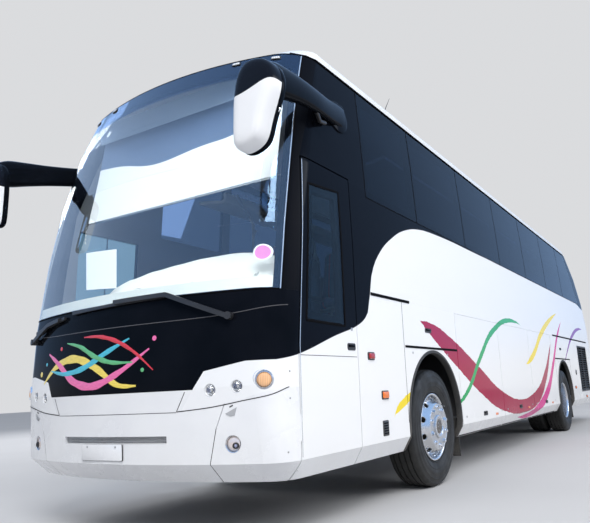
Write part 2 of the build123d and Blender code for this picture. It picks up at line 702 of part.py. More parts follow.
def roof_block(half, edge, shoulder, top, front, rear):
    """A low housing that sits on the arch: half width, edge height, shoulder set-in, top."""
    with BuildSketch(Plane.XZ.offset(-station(rear))) as section:
        with BuildLine():
            ThreePointArc((-half, crown_z(half)), (0, crown_z(0)), (half, crown_z(half)))
            Polyline((half, crown_z(half)), (half, edge), (half - shoulder, top - 12))
            ThreePointArc((half - shoulder, top - 12), (0, top), (shoulder - half, top - 12))
            Polyline((shoulder - half, top - 12), (-half, edge), (-half, crown_z(half)))
        make_face()
    extrude(section.sketch, amount=rear - front)


with BuildPart() as roof_unit:
    roof_block(UNIT_HALF, UNIT_EDGE_Z, 90, UNIT_TOP_Z, *UNIT)
    side_prism([(UNIT[0], 3500), (UNIT[1], 3500), (UNIT[1], UNIT_EDGE_Z), (UNIT[1] - 160, UNIT_TOP_Z + 1),
                (UNIT[0] + 160, UNIT_TOP_Z + 1), (UNIT[0], UNIT_EDGE_Z)], -FAR, FAR)
    for s in (1900, 2700, 5800, 6600):
        for x in (-420, 420):
            with Locations((x, station(s), UNIT_TOP_Z)):
                Cylinder(250, 60, mode=Mode.SUBTRACT)
finish(roof_unit, "roof_unit")
with BuildPart() as roof_hatch:
    roof_block(360, crown_z(360) + 22, 20, ROOF_Z + 46, -850, -130)
finish(roof_hatch, "roof_hatch")

# Floors: deck with its front bulkhead, driver's platform, stairs, luggage hold
DECK_FRONT = -760
deck_low = DECK_Z - FLOOR
WELL_X = -300
with BuildPart() as floor_fill:
    add(hull_solid(WALL + SEAT, PLATFORM_Z + SEAT, DECK_Z))
with BuildPart() as deck:
    add(floor_fill.part)
    side_prism([(DECK_FRONT, 0), (DECK_FRONT, DECK_Z), (8900, DECK_Z), (8900, deck_low),
                (DECK_FRONT + 25, deck_low), (DECK_FRONT + 25, 0)], -FAR, FAR)
    block((-FAR, WELL_X), (MIDDLE_DOOR[0] + 5, MIDDLE_DOOR[1] - 5), (deck_low - 5, DECK_Z + 5),
          mode=Mode.SUBTRACT)
finish(deck, "deck")
PLATFORM_RIGHT = -350
with BuildPart() as drivers_platform:
    add(hull_solid(WALL + SEAT, PLATFORM_Z - FLOOR, PLATFORM_Z))
    side_prism(rectangle(-3000, -700, 0, 2000), PLATFORM_RIGHT, FAR)
    block((HALF_WIDTH - WALL - 12, FAR), (FRONT_SEAM - 5, DRIVER_DOOR_REAR + 5), (800, 1000),
          mode=Mode.SUBTRACT)
finish(drivers_platform, "drivers_platform")

with BuildPart() as front_steps:
    with BuildSketch(Plane.XZ.offset(-station(-1280 - SEAT))) as flight:
        with BuildLine():
            Polyline((-1150, 400), (-1150, 450), (-900, 450), (-900, 600), (-700, 600), (-700, 750),
                     (-500, 750), (-500, 900 - SEAT), (-300, 900 - SEAT), (-300, 850), (-860, 430),
                     (-900, 400), close=True)
        make_face()
    extrude(flight.sketch, amount=900)
with BuildPart() as aisle_steps:
    side_prism([(-1400, PLATFORM_Z + SEAT), (-1400, 1144), (-1240, 1144), (-1240, 1328), (-1080, 1328),
                (-1080, 1512), (-920, 1512), (-920, DECK_Z), (DECK_FRONT - SEAT, DECK_Z),
                (DECK_FRONT - SEAT, PLATFORM_Z + SEAT)], -300, 300, mode=Mode.ADD)
STAIR_FOOT = (-1150, 450)
RISERS = 7
middle_tread = (WELL_X - STAIR_FOOT[0]) / RISERS
middle_rise = (DECK_Z - STAIR_FOOT[1]) / RISERS
with BuildPart() as middle_steps:
    treads = [STAIR_FOOT]
    for n in range(1, RISERS):
        x, z = STAIR_FOOT[0] + middle_tread * n, STAIR_FOOT[1] + middle_rise * n
        treads += [(x, z - middle_rise), (x, z)]
    treads.append((WELL_X - SEAT, treads[-1][1]))
    with BuildSketch(Plane.XZ.offset(-station(MIDDLE_DOOR[1] - 12))) as flight:
        with BuildLine():
            Polyline(*treads, (WELL_X - SEAT, 1350), (-1010, 400), (STAIR_FOOT[0], 400), close=True)
        make_face()
    extrude(flight.sketch, amount=MIDDLE_DOOR[1] - MIDDLE_DOOR[0] - 24)
    block((WELL_X - 25, WELL_X - SEAT), (MIDDLE_DOOR[0] + 12, MIDDLE_DOOR[1] - 12), (1340, DECK_Z))
with BuildPart() as stairs:
    add([front_steps.part, aisle_steps.part, middle_steps.part])
finish(stairs, "stairs")

HOLD = (700, 5140)
HOLD_HALF = 1195
with BuildPart() as luggage_hold:
    block((-HOLD_HALF, HOLD_HALF), HOLD, (HOLD_Z - 40, HOLD_Z))
    for s in (HOLD[0], HOLD[1] - 16):
        block((-HOLD_HALF, HOLD_HALF), (s, s + 16), (HOLD_Z - 40, deck_low - SEAT))
    block((-FAR, WELL_X + 20), (MIDDLE_DOOR[0] - 30, HOLD[1] + 10), (0, 2000), mode=Mode.SUBTRACT)
    block((WELL_X + 5, WELL_X + 21), (MIDDLE_DOOR[0] - 46, HOLD[1]), (HOLD_Z - 40, deck_low - SEAT))
    block((-HOLD_HALF, WELL_X + 21), (MIDDLE_DOOR[0] - 46, MIDDLE_DOOR[0] - 30), (HOLD_Z - 40, deck_low - SEAT))
finish(luggage_hold, "luggage_hold")

# Chassis rails under the front platform and at the rear, with cross members
RAIL_X = (380, 460)
RAIL_Z = (700, 880)
REAR_RAILS = (HOLD[1] + SEAT, 9100)
INNER_HALF = HALF_WIDTH - WALL - SEAT
with BuildPart() as chassis_frame:
    for s in (-1280, 7020):
        block((-INNER_HALF, INNER_HALF), (s, s + 60), (740, 840))
    for sign, start in ((1, -2100), (-1, -1280)):
        for front, rear in ((start, HOLD[0] - SEAT), REAR_RAILS):
            block(sorted((sign * RAIL_X[0], sign * RAIL_X[1])), (front, rear), RAIL_Z)
    block((-280, -200), (-2100, -1220), RAIL_Z)
    block((-280, RAIL_X[0]), (-2100, -2040), (720, 860))
    for s in (-800, 560):
        block((-RAIL_X[0], RAIL_X[0]), (s, s + 60), (720, 860))
    for s in (-2100, -1280):
        block((-280, RAIL_X[1]), (s, s + 60), (RAIL_Z[1], PLATFORM_Z - FLOOR - SEAT))
    for s in (5200, 6900, 9040):
        block((-RAIL_X[0], RAIL_X[0]), (s, s + 60), (720, 860))
finish(chassis_frame, "chassis_frame")

with BuildPart() as engine:
    block((-RAIL_X[0] + SEAT, RAIL_X[0] - SEAT), (7300, 8900), (600, 1320))
    chamfer(engine.edges().filter_by(Axis.Y), 60)
finish(engine, "engine")

# Wheel housings over all four wheels
HOUSING_T = 8
HOUSINGS = [
    # station, inner side
    (0, 612),
    (WHEELBASE, 600),
]
housing_list = []
for centre, inner_x in HOUSINGS:
    with BuildPart() as housing:
        half = ARCH_R + 5 + HOUSING_T
        top = ARCH_Z + ARCH_R + 20
        block((inner_x, HALF_WIDTH - WALL - SEAT), (centre - half, centre + half), (ARCH_Z, top))
        block((inner_x + HOUSING_T, FAR), (centre - half + HOUSING_T, centre + half - HOUSING_T),
              (0, top - HOUSING_T), mode=Mode.SUBTRACT)
        block((0, inner_x + HOUSING_T + 1), (centre - half + HOUSING_T, centre + half - HOUSING_T), (0, 820),
              mode=Mode.SUBTRACT)
    housing_list += [housing.part, housing.part.mirror(Plane.YZ)]
with BuildPart() as wheel_housings:
    add(housing_list)
finish(wheel_housings, "wheel_housings")

# Front axle: beam with kingpin bosses and spring seats; air springs reach the rails
SPRING_R = 84
SPRING_X = (RAIL_X[0] + RAIL_X[1]) / 2
BOSS_R = 45
BEAM_Z = (450, 590)
with BuildPart() as front_axle:
    block((-KINGPIN_X, KINGPIN_X), (-50, 50), BEAM_Z)
    block((-250, 250), (-51, 51), (BEAM_Z[1] - 50, BEAM_Z[1] + 1), mode=Mode.SUBTRACT)
    for sign in (1, -1):
        with Locations((sign * KINGPIN_X, station(0), 520)):
            Cylinder(BOSS_R, 160)
        with Locations((sign * SPRING_X, station(0), BEAM_Z[1])):
            Cylinder(SPRING_R + 6, 20)
    for sign in (1, -1):
        with Locations((sign * KINGPIN_X, station(0), 520)):
            Cylinder(22.5, 200, mode=Mode.SUBTRACT)
finish(front_axle, "front_axle")

AXLE_Z = TYRE_R
STUB_R = 55
# Half section of the driven axle as axial offset and radius: stub, tube, and drive housing in the middle
DRIVEN_AXLE = [(1120, 0), (1120, STUB_R), (600, STUB_R), (600, 85), (210, 85), (130, 165), (60, 200)]
with BuildPart() as rear_axle:
    rear_centre = (0, station(WHEELBASE), AXLE_Z)
    with BuildSketch(Plane(origin=rear_centre, x_dir=(1, 0, 0), z_dir=(0, -1, 0))) as half_axle:
        with BuildLine():
            Polyline(*DRIVEN_AXLE, *[(-a, r) for a, r in reversed(DRIVEN_AXLE)], close=True)
        make_face()
    revolve(half_axle.sketch, axis=Axis(rear_centre, (1, 0, 0)))
    for sign in (1, -1):
        block(sorted((sign * 370, sign * 470)), (WHEELBASE - 330, WHEELBASE + 330), (540, 612))
finish(rear_axle, "rear_axle")
spring_seats = [(0, BEAM_Z[1] + 10)] + [(WHEELBASE + d, 612) for d in (-240, 240)]
with BuildPart() as air_springs:
    for s, low in spring_seats:
        for sign in (1, -1):
            with BuildSketch(Plane.XY.offset(low + SEAT)) as base:
                with Locations((sign * SPRING_X, station(s))):
                    Circle(SPRING_R)
            extrude(base.sketch, amount=RAIL_Z[0] - low - 2 * SEAT)
finish(air_springs, "air_springs")

# Knuckles turn on the kingpins and carry the front wheels on their spindles
FRONT_WHEEL_X = WHEEL_FACE - TYRE_HALF
SPINDLE_R = 42
SPINDLE_END = FRONT_WHEEL_X + 90
ROD_PIN_R = 12
ROD_Z = 449
HUB_PLAY = 0.5
with BuildPart() as knuckle_left:
    for low, high in ((400, 435), (605, 640)):
        block((KINGPIN_X - 50, 960), (-60, 60), (low, high))
    block((926, 960), (-60, 60), (400, 640))
    rod((KINGPIN_X, 0, 400), (KINGPIN_X, 0, 640), 22)
    rod((940, 0, AXLE_Z), (SPINDLE_END, 0, AXLE_Z), SPINDLE_R)
    rod((955, 0, AXLE_Z), (975, 0, AXLE_Z), 105)
    block((KINGPIN_X - 30, KINGPIN_X + 30), (40, STEER_ARM + 30), (400, 430))
    rod((KINGPIN_X, STEER_ARM, 425), (KINGPIN_X, STEER_ARM, 478), ROD_PIN_R)
finish(knuckle_left, "knuckle_left")
with BuildPart() as knuckle_right:
    mirror(knuckle_left.part, about=Plane.YZ)
finish(knuckle_right, "knuckle_right")
with BuildPart() as tie_rod:
    rod((-KINGPIN_X, STEER_ARM, ROD_Z), (KINGPIN_X, STEER_ARM, ROD_Z), 15)
    for sign in (1, -1):
        rod((sign * KINGPIN_X, STEER_ARM, ROD_Z - 16), (sign * KINGPIN_X, STEER_ARM, ROD_Z + 16), 28)
    for sign in (1, -1):
        rod((sign * KINGPIN_X, STEER_ARM, ROD_Z - 20), (sign * KINGPIN_X, STEER_ARM, ROD_Z + 20),
            ROD_PIN_R + HUB_PLAY, mode=Mode.SUBTRACT)
finish(tie_rod, "tie_rod")


def wheel_revolve(x, s, profile, mode=Mode.ADD):
    """Turns a profile of axial offset and radius about a wheel's axis."""
    centre = Plane(origin=(x, station(s), AXLE_Z), x_dir=(1, 0, 0), z_dir=(0, -1, 0))
    with BuildSketch(centre) as section:
        with BuildLine():
            Polyline(*profile, close=True)
        make_face()
    revolve(section.sketch, axis=Axis(centre.origin, (1, 0, 0)), mode=mode)


# Half sections as axial offset and radius: tyre from bead to tread, rim barrel, front and rear discs
TYRE = [(-110.5, BEAD_R), (-110.5, 300.5), (-128, 318), (-TYRE_HALF, 395), (-142, 450), (-124, 506),
        (-100, TYRE_R - 3), (0, TYRE_R), (100, TYRE_R - 3), (124, 506), (142, 450), (TYRE_HALF, 395),
        (128, 318), (110.5, 300.5), (110.5, BEAD_R)]
BARREL = [(-RIM_HALF, 300), (-111, 300), (-111, BEAD_R - SEAT), (111, BEAD_R - SEAT), (111, 300),
          (RIM_HALF, 300), (RIM_HALF, 270), (-RIM_HALF, 270)]
FRONT_DISC = [(36, 272), (64, 272), (72, 266), (164, 208), (172, 200), (172, 100), (158, 100), (158, 192),
              (150, 198), (58, 254), (36, 262)]
TWIN_DISC = [(86, 272), (86, 262), (66, 254), (22, 199), (14, 190), (14, 100), (-14, 100), (-14, 190),
             (-22, 199), (-66, 254), (-86, 262), (-86, 272), (-64, 272), (-52, 262), (0, 204), (52, 262),
             (64, 272)]
HUB_R = 118
CAP = [(150, 0), (150, 104), (178, 104), (184, 98), (184, 72), (174, 66), (174, 0)]
PCD_R = 167.5
HAND_HOLE_R = 25
HAND_PITCH_R = 231
FRONT_HOLE_PITCH_R = 237
HAND_HOLES = 10
NUT_R = 17
NUTS = 10
TWIN_OUTER = FRONT_WHEEL_X
TWIN_INNER = TWIN_OUTER - TWIN_PITCH
TWIN_MID = (TWIN_OUTER + TWIN_INNER) / 2


def turned(profile, side):
    """A half section facing the coach's left (1) or right (-1)."""
    return [(side * a, r) for a, r in profile]


def axial_bars(x_from, x_to, s, radius, count, pitch_radius, mode, turn=0):
    """Round bars or holes parallel to the axle on a pitch circle."""
    low = min(x_from, x_to)
    plane = Plane(origin=(low, station(s), AXLE_Z), x_dir=(0, 1, 0), z_dir=(1, 0, 0))
    with BuildSketch(plane) as circles:
        with PolarLocations(pitch_radius, count, start_angle=turn):
            Circle(radius)
    extrude(circles.sketch, amount=abs(x_to - x_from), mode=mode)


def hub(x, s, inner, outer, bore, side):
    """A hub ring on a spindle, from one axial offset to another."""
    wheel_revolve(x, s, turned([(inner, bore), (inner, HUB_R), (outer, HUB_R), (outer, bore)], side))


for side in (1, -1):
    name = side_name[side]
    outer_x, inner_x, mid_x = side * TWIN_OUTER, side * TWIN_INNER, side * TWIN_MID
    with BuildPart() as front_tyre:
        wheel_revolve(outer_x, 0, TYRE)
    finish(front_tyre, f"front_{name}_tyre")
    with BuildPart() as front_rim:
        wheel_revolve(outer_x, 0, BARREL)
        wheel_revolve(outer_x, 0, turned(FRONT_DISC, side))
        axial_bars(outer_x + side * 20, outer_x + side * 190, 0, HAND_HOLE_R, HAND_HOLES, FRONT_HOLE_PITCH_R,
                   Mode.SUBTRACT)
        hub(outer_x, 0, -110, 165, SPINDLE_R + HUB_PLAY, side)
        wheel_revolve(outer_x, 0, turned(CAP, side))
        axial_bars(outer_x + side * 166, outer_x + side * 190, 0, NUT_R, NUTS, PCD_R, Mode.ADD, turn=18)
    finish(front_rim, f"front_{name}_rim")
    with BuildPart() as twin_tyres:
        wheel_revolve(outer_x, WHEELBASE, TYRE)
        wheel_revolve(inner_x, WHEELBASE, TYRE)
    finish(twin_tyres, f"rear_{name}_tyres")
    with BuildPart() as twin_rims:
        wheel_revolve(outer_x, WHEELBASE, BARREL)
        wheel_revolve(inner_x, WHEELBASE, BARREL)
        wheel_revolve(mid_x, WHEELBASE, TWIN_DISC)
        axial_bars(mid_x - 100, mid_x + 100, WHEELBASE, HAND_HOLE_R, HAND_HOLES, HAND_PITCH_R, Mode.SUBTRACT)
        hub(mid_x, WHEELBASE, -300, 190, STUB_R + HUB_PLAY, side)
        wheel_revolve(mid_x, WHEELBASE, turned([(188, 0), (188, 114), (200, 104), (200, 0)], side))
        axial_bars(mid_x + side * 10, mid_x + side * 40, WHEELBASE, NUT_R, NUTS, PCD_R, Mode.ADD, turn=18)
    finish(twin_rims, f"rear_{name}_rims")

# Driver's place: dashboard, steering wheel, seat
with BuildPart() as dashboard:
    add(hull_solid(WALL + 10, PLATFORM_Z + SEAT, 1700))
    side_prism([(-3000, 0), (-2120, 0), (-2120, 1500), (-2180, 1690), (-2320, 1690), (-2480, 1570),
                (-3000, 1560)], -FAR, FAR)
    block((-FAR, PLATFORM_RIGHT), (-3000, 0), (0, 1300), mode=Mode.SUBTRACT)
    block((-FAR, PLATFORM_RIGHT), (-2300, 0), (1200, 1800), mode=Mode.SUBTRACT)
    block((HALF_WIDTH - WALL - 20, FAR), (FRONT_SEAM - 20, 0), (0, 2000), mode=Mode.SUBTRACT)
finish(dashboard, "dashboard")

WHEEL_AT = (600, -1960, 1650)
WHEEL_TILT = 32
wheel_up = (0, math.sin(math.radians(WHEEL_TILT)), math.cos(math.radians(WHEEL_TILT)))
with BuildPart() as steering_wheel:
    wheel_centre = (WHEEL_AT[0], station(WHEEL_AT[1]), WHEEL_AT[2])
    with Locations(Plane(origin=wheel_centre, x_dir=(1, 0, 0), z_dir=wheel_up)):
        Torus(225, 15)
        Cylinder(45, 50)
        with GridLocations(220, 0, 2, 1):
            Box(220, 36, 16)
    rod(WHEEL_AT, (WHEEL_AT[0], WHEEL_AT[1] - 150, WHEEL_AT[2] - 240), 30)
    add(dashboard.part, mode=Mode.SUBTRACT)
finish(steering_wheel, "steering_wheel")

with BuildPart() as drivers_seat:
    block((420, 780), (-1640, -1340), (PLATFORM_Z + SEAT, 1330))
    side_prism([(-1740, 1320), (-1740, 1430), (-1300, 1410), (-1230, 2150), (-1120, 2150), (-1200, 1330)],
               340, 860, mode=Mode.ADD)
    fillet(drivers_seat.edges().filter_by(Axis.X).group_by(Axis.Z)[-1], 30)
finish(drivers_seat, "drivers_seat")

# Passenger seats in pairs, one row after the other on both sides of the aisle
SEAT_PITCH = 800
FIRST_ROW = -150
ROWS = 11
SEAT_X = (240, 1190)
seat_side = [(0, 310), (0, 430), (410, 400), (480, 1130), (570, 1130), (520, 420), (500, 310)]
with BuildPart() as passenger_seats:
    for n in range(ROWS):
        s = FIRST_ROW + SEAT_PITCH * n
        sides = (1, -1) if s + 570 < MIDDLE_DOOR[0] or s > MIDDLE_DOOR[1] else (1,)
        for side in sides:
            xs = sorted((side * SEAT_X[0], side * SEAT_X[1]))
            side_prism([(s + a, DECK_Z + b) for a, b in seat_side], *xs, mode=Mode.ADD)
            legs = sorted((side * 560, side * 620))
            block(legs, (s + 120, s + 420), (DECK_Z + SEAT, DECK_Z + 320))
finish(passenger_seats, "passenger_seats")

# Sun blind behind the windscreen: roller, leaning cloth and bottom bar on two brackets
BLIND_HALF = 1030
BLIND_TOP = (-1975, 3270)
BLIND_FOOT = (-2120, 2415)
BLIND_T = 6
ROLLER_R = 26
BRACKET_X = (-500, 500)
bracket_s = (BLIND_TOP[0] - 12, BLIND_TOP[0] + 12)
with BuildPart() as blind_brackets:
    for x in BRACKET_X:
        block((x - 10, x + 10), bracket_s, (GUTTER_Z + 1, ROOF_Z))
    add(roof_form(ROOF_THICK + SEAT), mode=Mode.INTERSECT)
with BuildPart() as sun_blind:
    rod((-BLIND_HALF - 15, *BLIND_TOP), (BLIND_HALF + 15, *BLIND_TOP), ROLLER_R)
    cloth = [(s + t, z) for (s, z), t in zip((BLIND_TOP, BLIND_FOOT, BLIND_FOOT, BLIND_TOP),
                                             (0, 0, BLIND_T, BLIND_T))]
    side_prism(cloth, -BLIND_HALF, BLIND_HALF, mode=Mode.ADD)
    rod((-BLIND_HALF, *BLIND_FOOT), (BLIND_HALF, *BLIND_FOOT), 11)
    for x in BRACKET_X:
        block((x - 10, x + 10), bracket_s, (BLIND_TOP[1], GUTTER_Z + 2))
    add(blind_brackets.part)
finish(sun_blind, "sun_blind")

# Mirrors: a tall head on a deep arm that runs forward from the side wall's top
MIRROR_X = 1450
MIRROR_Z = (2315, 2915)
MIRROR_SIZE = (300, 170)
mirror_s = MIRROR_FRONT + MIRROR_SIZE[1] / 2
ARM_ROOT = (1190, -1540, 3062)
ARM_HALF = (44, 82)
with BuildPart() as mirror_left:
    with BuildLine() as arm_path:
        FilletPolyline(
            (ARM_ROOT[0], station(ARM_ROOT[1]), ARM_ROOT[2]),
            (1300, station(-1860), 2990),
            (1425, station(-2400), 2905),
            (MIRROR_X, station(mirror_s), 2828),
            radius=400,
        )
    root_run = arm_path.line % 0
    with BuildSketch(Plane(origin=arm_path.line @ 0, x_dir=(root_run.Y, -root_run.X, 0), z_dir=root_run)):
        Ellipse(*ARM_HALF)
    sweep(path=arm_path.line)
    with Locations((MIRROR_X, station(mirror_s), sum(MIRROR_Z) / 2)):
        head = Box(*MIRROR_SIZE, MIRROR_Z[1] - MIRROR_Z[0])
    fillet(head.edges().filter_by(Axis.Z), 70)
    add(hull_solid(-SEAT, 2700, GUTTER_Z), mode=Mode.SUBTRACT)
with BuildPart() as mirrors:
    add(mirror_left.part)
    mirror(mirror_left.part, about=Plane.YZ)
finish(mirrors, "mirrors")

# Wipers: arms and blades that follow the screen just off its face
BLADE_LAYER = (6, 24)
ARM_LAYER = (20, 42)


def screen_layer(near, far):
    """A layer outside the front skin between two distances from it."""
    with BuildPart() as layer:
        add(hull_solid(-far, 1250, 1750))
        add(hull_solid(-near, 1249, 1751), mode=Mode.SUBTRACT)
        front_prism(rectangle(-1250, 1250, 1200, 1800), -3200, -2000)
    return layer.part


def strip(a, b, width):
    """Outline of a straight strip between two places across and up."""
    length = math.dist(a, b)
    dx, dz = (b[1] - a[1]) / length * width / 2, (a[0] - b[0]) / length * width / 2
    return [(a[0] + dx, a[1] + dz), (b[0] + dx, b[1] + dz), (b[0] - dx, b[1] - dz), (a[0] - dx, a[1] - dz)]


WIPERS = [
    # pivot, elbow, arm end, blade start, blade end
    ((955, 1385), (500, 1562), (40, 1556), (490, 1556), (-450, 1530)),
    ((-1085, 1375), (-800, 1478), (-620, 1500), (-1060, 1440), (-560, 1508)),
]
blade_layer = screen_layer(*BLADE_LAYER)
arm_layer = screen_layer(*ARM_LAYER)
wiper_pieces = []
for pivot, elbow, arm_end, blade_start, blade_end in WIPERS:
    with BuildPart() as blade:
        add(blade_layer)
        front_prism(strip(blade_start, blade_end, 22), -3200, -2000)
    wiper_pieces.append(blade.part)
    for a, b in ((pivot, elbow), (elbow, arm_end)):
        with BuildPart() as arm:
            add(arm_layer)
            front_prism(strip(a, b, 30), -3200, -2000)
        wiper_pieces.append(arm.part)
    heading = math.degrees(math.asin(pivot[0] / 3600))
    with BuildPart() as spindle:
        lamp_bar(*pivot, 24, heading, -2, 46)
    wiper_pieces.append(spindle.part)
with BuildPart() as wipers:
    add(wiper_pieces)
finish(wipers, "wipers")
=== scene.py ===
"""Finishes and detail for the touring coach, in metres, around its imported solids."""

import math

import bmesh
import bpy
from mathutils import Matrix, Vector


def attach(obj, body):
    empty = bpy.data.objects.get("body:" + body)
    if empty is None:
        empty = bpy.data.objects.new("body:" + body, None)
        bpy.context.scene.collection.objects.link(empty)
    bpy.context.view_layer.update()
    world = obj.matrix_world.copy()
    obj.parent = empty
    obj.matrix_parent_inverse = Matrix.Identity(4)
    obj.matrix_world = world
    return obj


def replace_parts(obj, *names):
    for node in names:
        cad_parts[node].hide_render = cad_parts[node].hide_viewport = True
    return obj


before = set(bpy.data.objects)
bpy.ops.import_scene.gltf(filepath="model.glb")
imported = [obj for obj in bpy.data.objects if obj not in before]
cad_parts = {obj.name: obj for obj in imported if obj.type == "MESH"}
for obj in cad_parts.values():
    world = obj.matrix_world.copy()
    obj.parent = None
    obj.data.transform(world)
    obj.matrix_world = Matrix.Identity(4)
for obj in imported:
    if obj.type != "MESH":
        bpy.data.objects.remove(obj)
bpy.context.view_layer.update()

# The coach's frame: X to its left, Y to its rear, Z up. Stations are measured from the front axle.
FRONT_AXLE_Y = -3.31
WHEELBASE = 6.05
TAIL = 9.5
WHEEL_X = 1.1025
TWIN_INNER_X = 0.7725
AXLE_Z = 0.522

# Height, half width, nose station, nose radius, front corner, tail set-in, rear corner
HULL = [
    (0.370, 1.200, -2.490, 3.400, 0.200, 0.100, 0.230),
    (0.490, 1.275, -2.625, 3.450, 0.212, 0.045, 0.260),
    (0.950, 1.275, -2.660, 3.600, 0.250, 0.010, 0.290),
    (1.470, 1.275, -2.650, 3.600, 0.280, 0.000, 0.300),
    (2.000, 1.273, -2.600, 3.600, 0.330, 0.070, 0.310),
    (2.500, 1.260, -2.520, 3.600, 0.380, 0.270, 0.320),
    (3.000, 1.235, -2.390, 3.500, 0.370, 0.640, 0.330),
    (3.440, 1.205, -2.215, 3.300, 0.310, 1.250, 0.320),
]
TAIL_RADIUS = 7.0


def along(s):
    """Y of a station behind the front axle."""
    return FRONT_AXLE_Y + s


def at(x, s, z):
    """A point from its place across, station and height."""
    return x, along(s), z


def turns(count):
    """Angles that part a full turn evenly."""
    return [2 * math.pi * j / count for j in range(count)]


def hull_row(z):
    """The hull's plan sizes at a height."""
    for low, high in zip(HULL, HULL[1:]):
        if z <= high[0]:
            t = (z - low[0]) / (high[0] - low[0])
            return [a + (b - a) * t for a, b in zip(low, high)]
    return list(HULL[-1])


def nose_point(x, z, out=0.0):
    """A point on the front skin, moved outwards by a distance."""
    _, half, nose, radius, corner, _, _ = hull_row(z)
    half, radius, corner = half + out, radius + out, corner + out
    front = along(nose) - out
    cx = half - corner
    cy = front + radius - math.sqrt((radius - corner) ** 2 - cx**2)
    if abs(x) <= cx * radius / (radius - corner):
        return Vector((x, front + radius - math.sqrt(radius**2 - x**2), z))
    return Vector((x, cy - math.sqrt(max(corner**2 - (abs(x) - cx) ** 2, 0.0)), z))


def side_point(side, s, z, out=0.0):
    """A point on the side skin; ahead of the corner it follows the corner's round."""
    _, half, nose, radius, corner, set_in, rear_corner = hull_row(z)
    half, radius, corner = half + out, radius + out, corner + out
    y = along(s)
    cx = half - corner
    cy = along(nose) - out + radius - math.sqrt((radius - corner) ** 2 - cx**2)
    if y < cy:
        return Vector((side * (cx + math.sqrt(max(corner**2 - (y - cy) ** 2, 0.0))), y, z))
    rear_corner, rear_radius = rear_corner + out, TAIL_RADIUS + out
    rx = half - rear_corner
    tail = along(TAIL - set_in) + out
    ry = tail - rear_radius + math.sqrt((rear_radius - rear_corner) ** 2 - rx**2)
    if y > ry:
        return Vector((side * (rx + math.sqrt(max(rear_corner**2 - (y - ry) ** 2, 0.0))), y, z))
    return Vector((side * half, y, z))


def tail_point(x, z, out=0.0):
    """A point on the rear skin."""
    _, half, _, _, _, set_in, corner = hull_row(z)
    half, radius, corner = half + out, TAIL_RADIUS + out, corner + out
    tail = along(TAIL - set_in) + out
    cx = half - corner
    cy = tail - radius + math.sqrt((radius - corner) ** 2 - cx**2)
    if abs(x) <= cx * radius / (radius - corner):
        return Vector((x, tail - radius + math.sqrt(radius**2 - x**2), z))
    return Vector((x, cy + math.sqrt(max(corner**2 - (abs(x) - cx) ** 2, 0.0)), z))


# ---------------------------------------------------------------- camera, light, floor
def camera_basis(yaw, pitch, roll):
    """Forward, right and up of a camera from its angles in degrees."""
    yaw, pitch, roll = (math.radians(a) for a in (yaw, pitch, roll))
    forward = Vector((math.sin(yaw) * math.cos(pitch), math.cos(yaw) * math.cos(pitch), math.sin(pitch)))
    right = Vector((math.cos(yaw), -math.sin(yaw), 0))
    up = right.cross(forward)
    return (
        forward,
        math.cos(roll) * right + math.sin(roll) * up,
        -math.sin(roll) * right + math.cos(roll) * up,
    )


PHOTO_WIDTH, PHOTO_HEIGHT = 590, 523
FOCAL_PX = 604.2
CENTRE_PX = (350, 245)
forward, right, up = camera_basis(-29.57, 13.29, -2.73)
camera_data = bpy.data.cameras.new("photo_camera")
camera = bpy.data.objects.new("photo_camera", camera_data)
bpy.context.scene.collection.objects.link(camera)
turn = Matrix((right, up, -forward)).transposed().to_4x4()
camera.matrix_world = Matrix.Translation(at(3.515, -5.457, 0.907)) @ turn
camera_data.lens = FOCAL_PX * camera_data.sensor_width / PHOTO_WIDTH
camera_data.shift_x = (PHOTO_WIDTH / 2 - CENTRE_PX[0]) / PHOTO_WIDTH
camera_data.shift_y = -(PHOTO_HEIGHT / 2 - CENTRE_PX[1]) / PHOTO_WIDTH
bpy.context.scene.camera = camera
bpy.context.scene.view_settings.view_transform = "Standard"


# ---------------------------------------------------------------- shader building
def put(tree, kind, inputs=None, **settings):
    """A node with its settings; an input given a socket is linked, and any other gets the value."""
    node = tree.nodes.new(kind)
    for key, value in settings.items():
        setattr(node, key, value)
    for key, value in (inputs or {}).items():
        if isinstance(value, bpy.types.NodeSocket):
            tree.links.new(value, node.inputs[key])
        else:
            node.inputs[key].default_value = value
    return node


def calc(tree, operation, a, b=0.0, clamp=False):
    """A maths node's result."""
    return put(tree, "ShaderNodeMath", {0: a, 1: b}, operation=operation, use_clamp=clamp).outputs[0]


def times(tree, a, b, clamp=False):
    """The product of two values."""
    return calc(tree, "MULTIPLY", a, b, clamp)


def blend_colour(tree, factor, a, b):
    """Colour a turning into colour b."""
    node = put(tree, "ShaderNodeMix", {0: factor}, data_type="RGBA")
    for socket, value in ((node.inputs[6], a), (node.inputs[7], b)):
        if isinstance(value, bpy.types.NodeSocket):
            tree.links.new(value, socket)
        else:
            socket.default_value = value
    return node.outputs[2]


def ramp(tree, value, low, high, start=0.0, end=1.0, smooth=True):
    """A value mapped from low..high to start..end, clamped."""
    kind = "SMOOTHSTEP" if smooth else "LINEAR"
    return put(tree, "ShaderNodeMapRange", {0: value, 1: low, 2: high, 3: start, 4: end},
               interpolation_type=kind).outputs[0]


def noise(tree, vector, scale, detail=3.0, rough=0.5):
    """Noise between 0 and 1."""
    return put(tree, "ShaderNodeTexNoise",
               {"Vector": vector, "Scale": scale, "Detail": detail, "Roughness": rough}).outputs["Fac"]


def streaks(tree, stretch, scale):
    """Noise drawn out by different amounts along the three axes."""
    drawn_out = put(tree, "ShaderNodeMapping", {0: own_point(tree), 3: stretch}, vector_type="POINT").outputs[0]
    return noise(tree, drawn_out, scale, 4.0, 0.7)


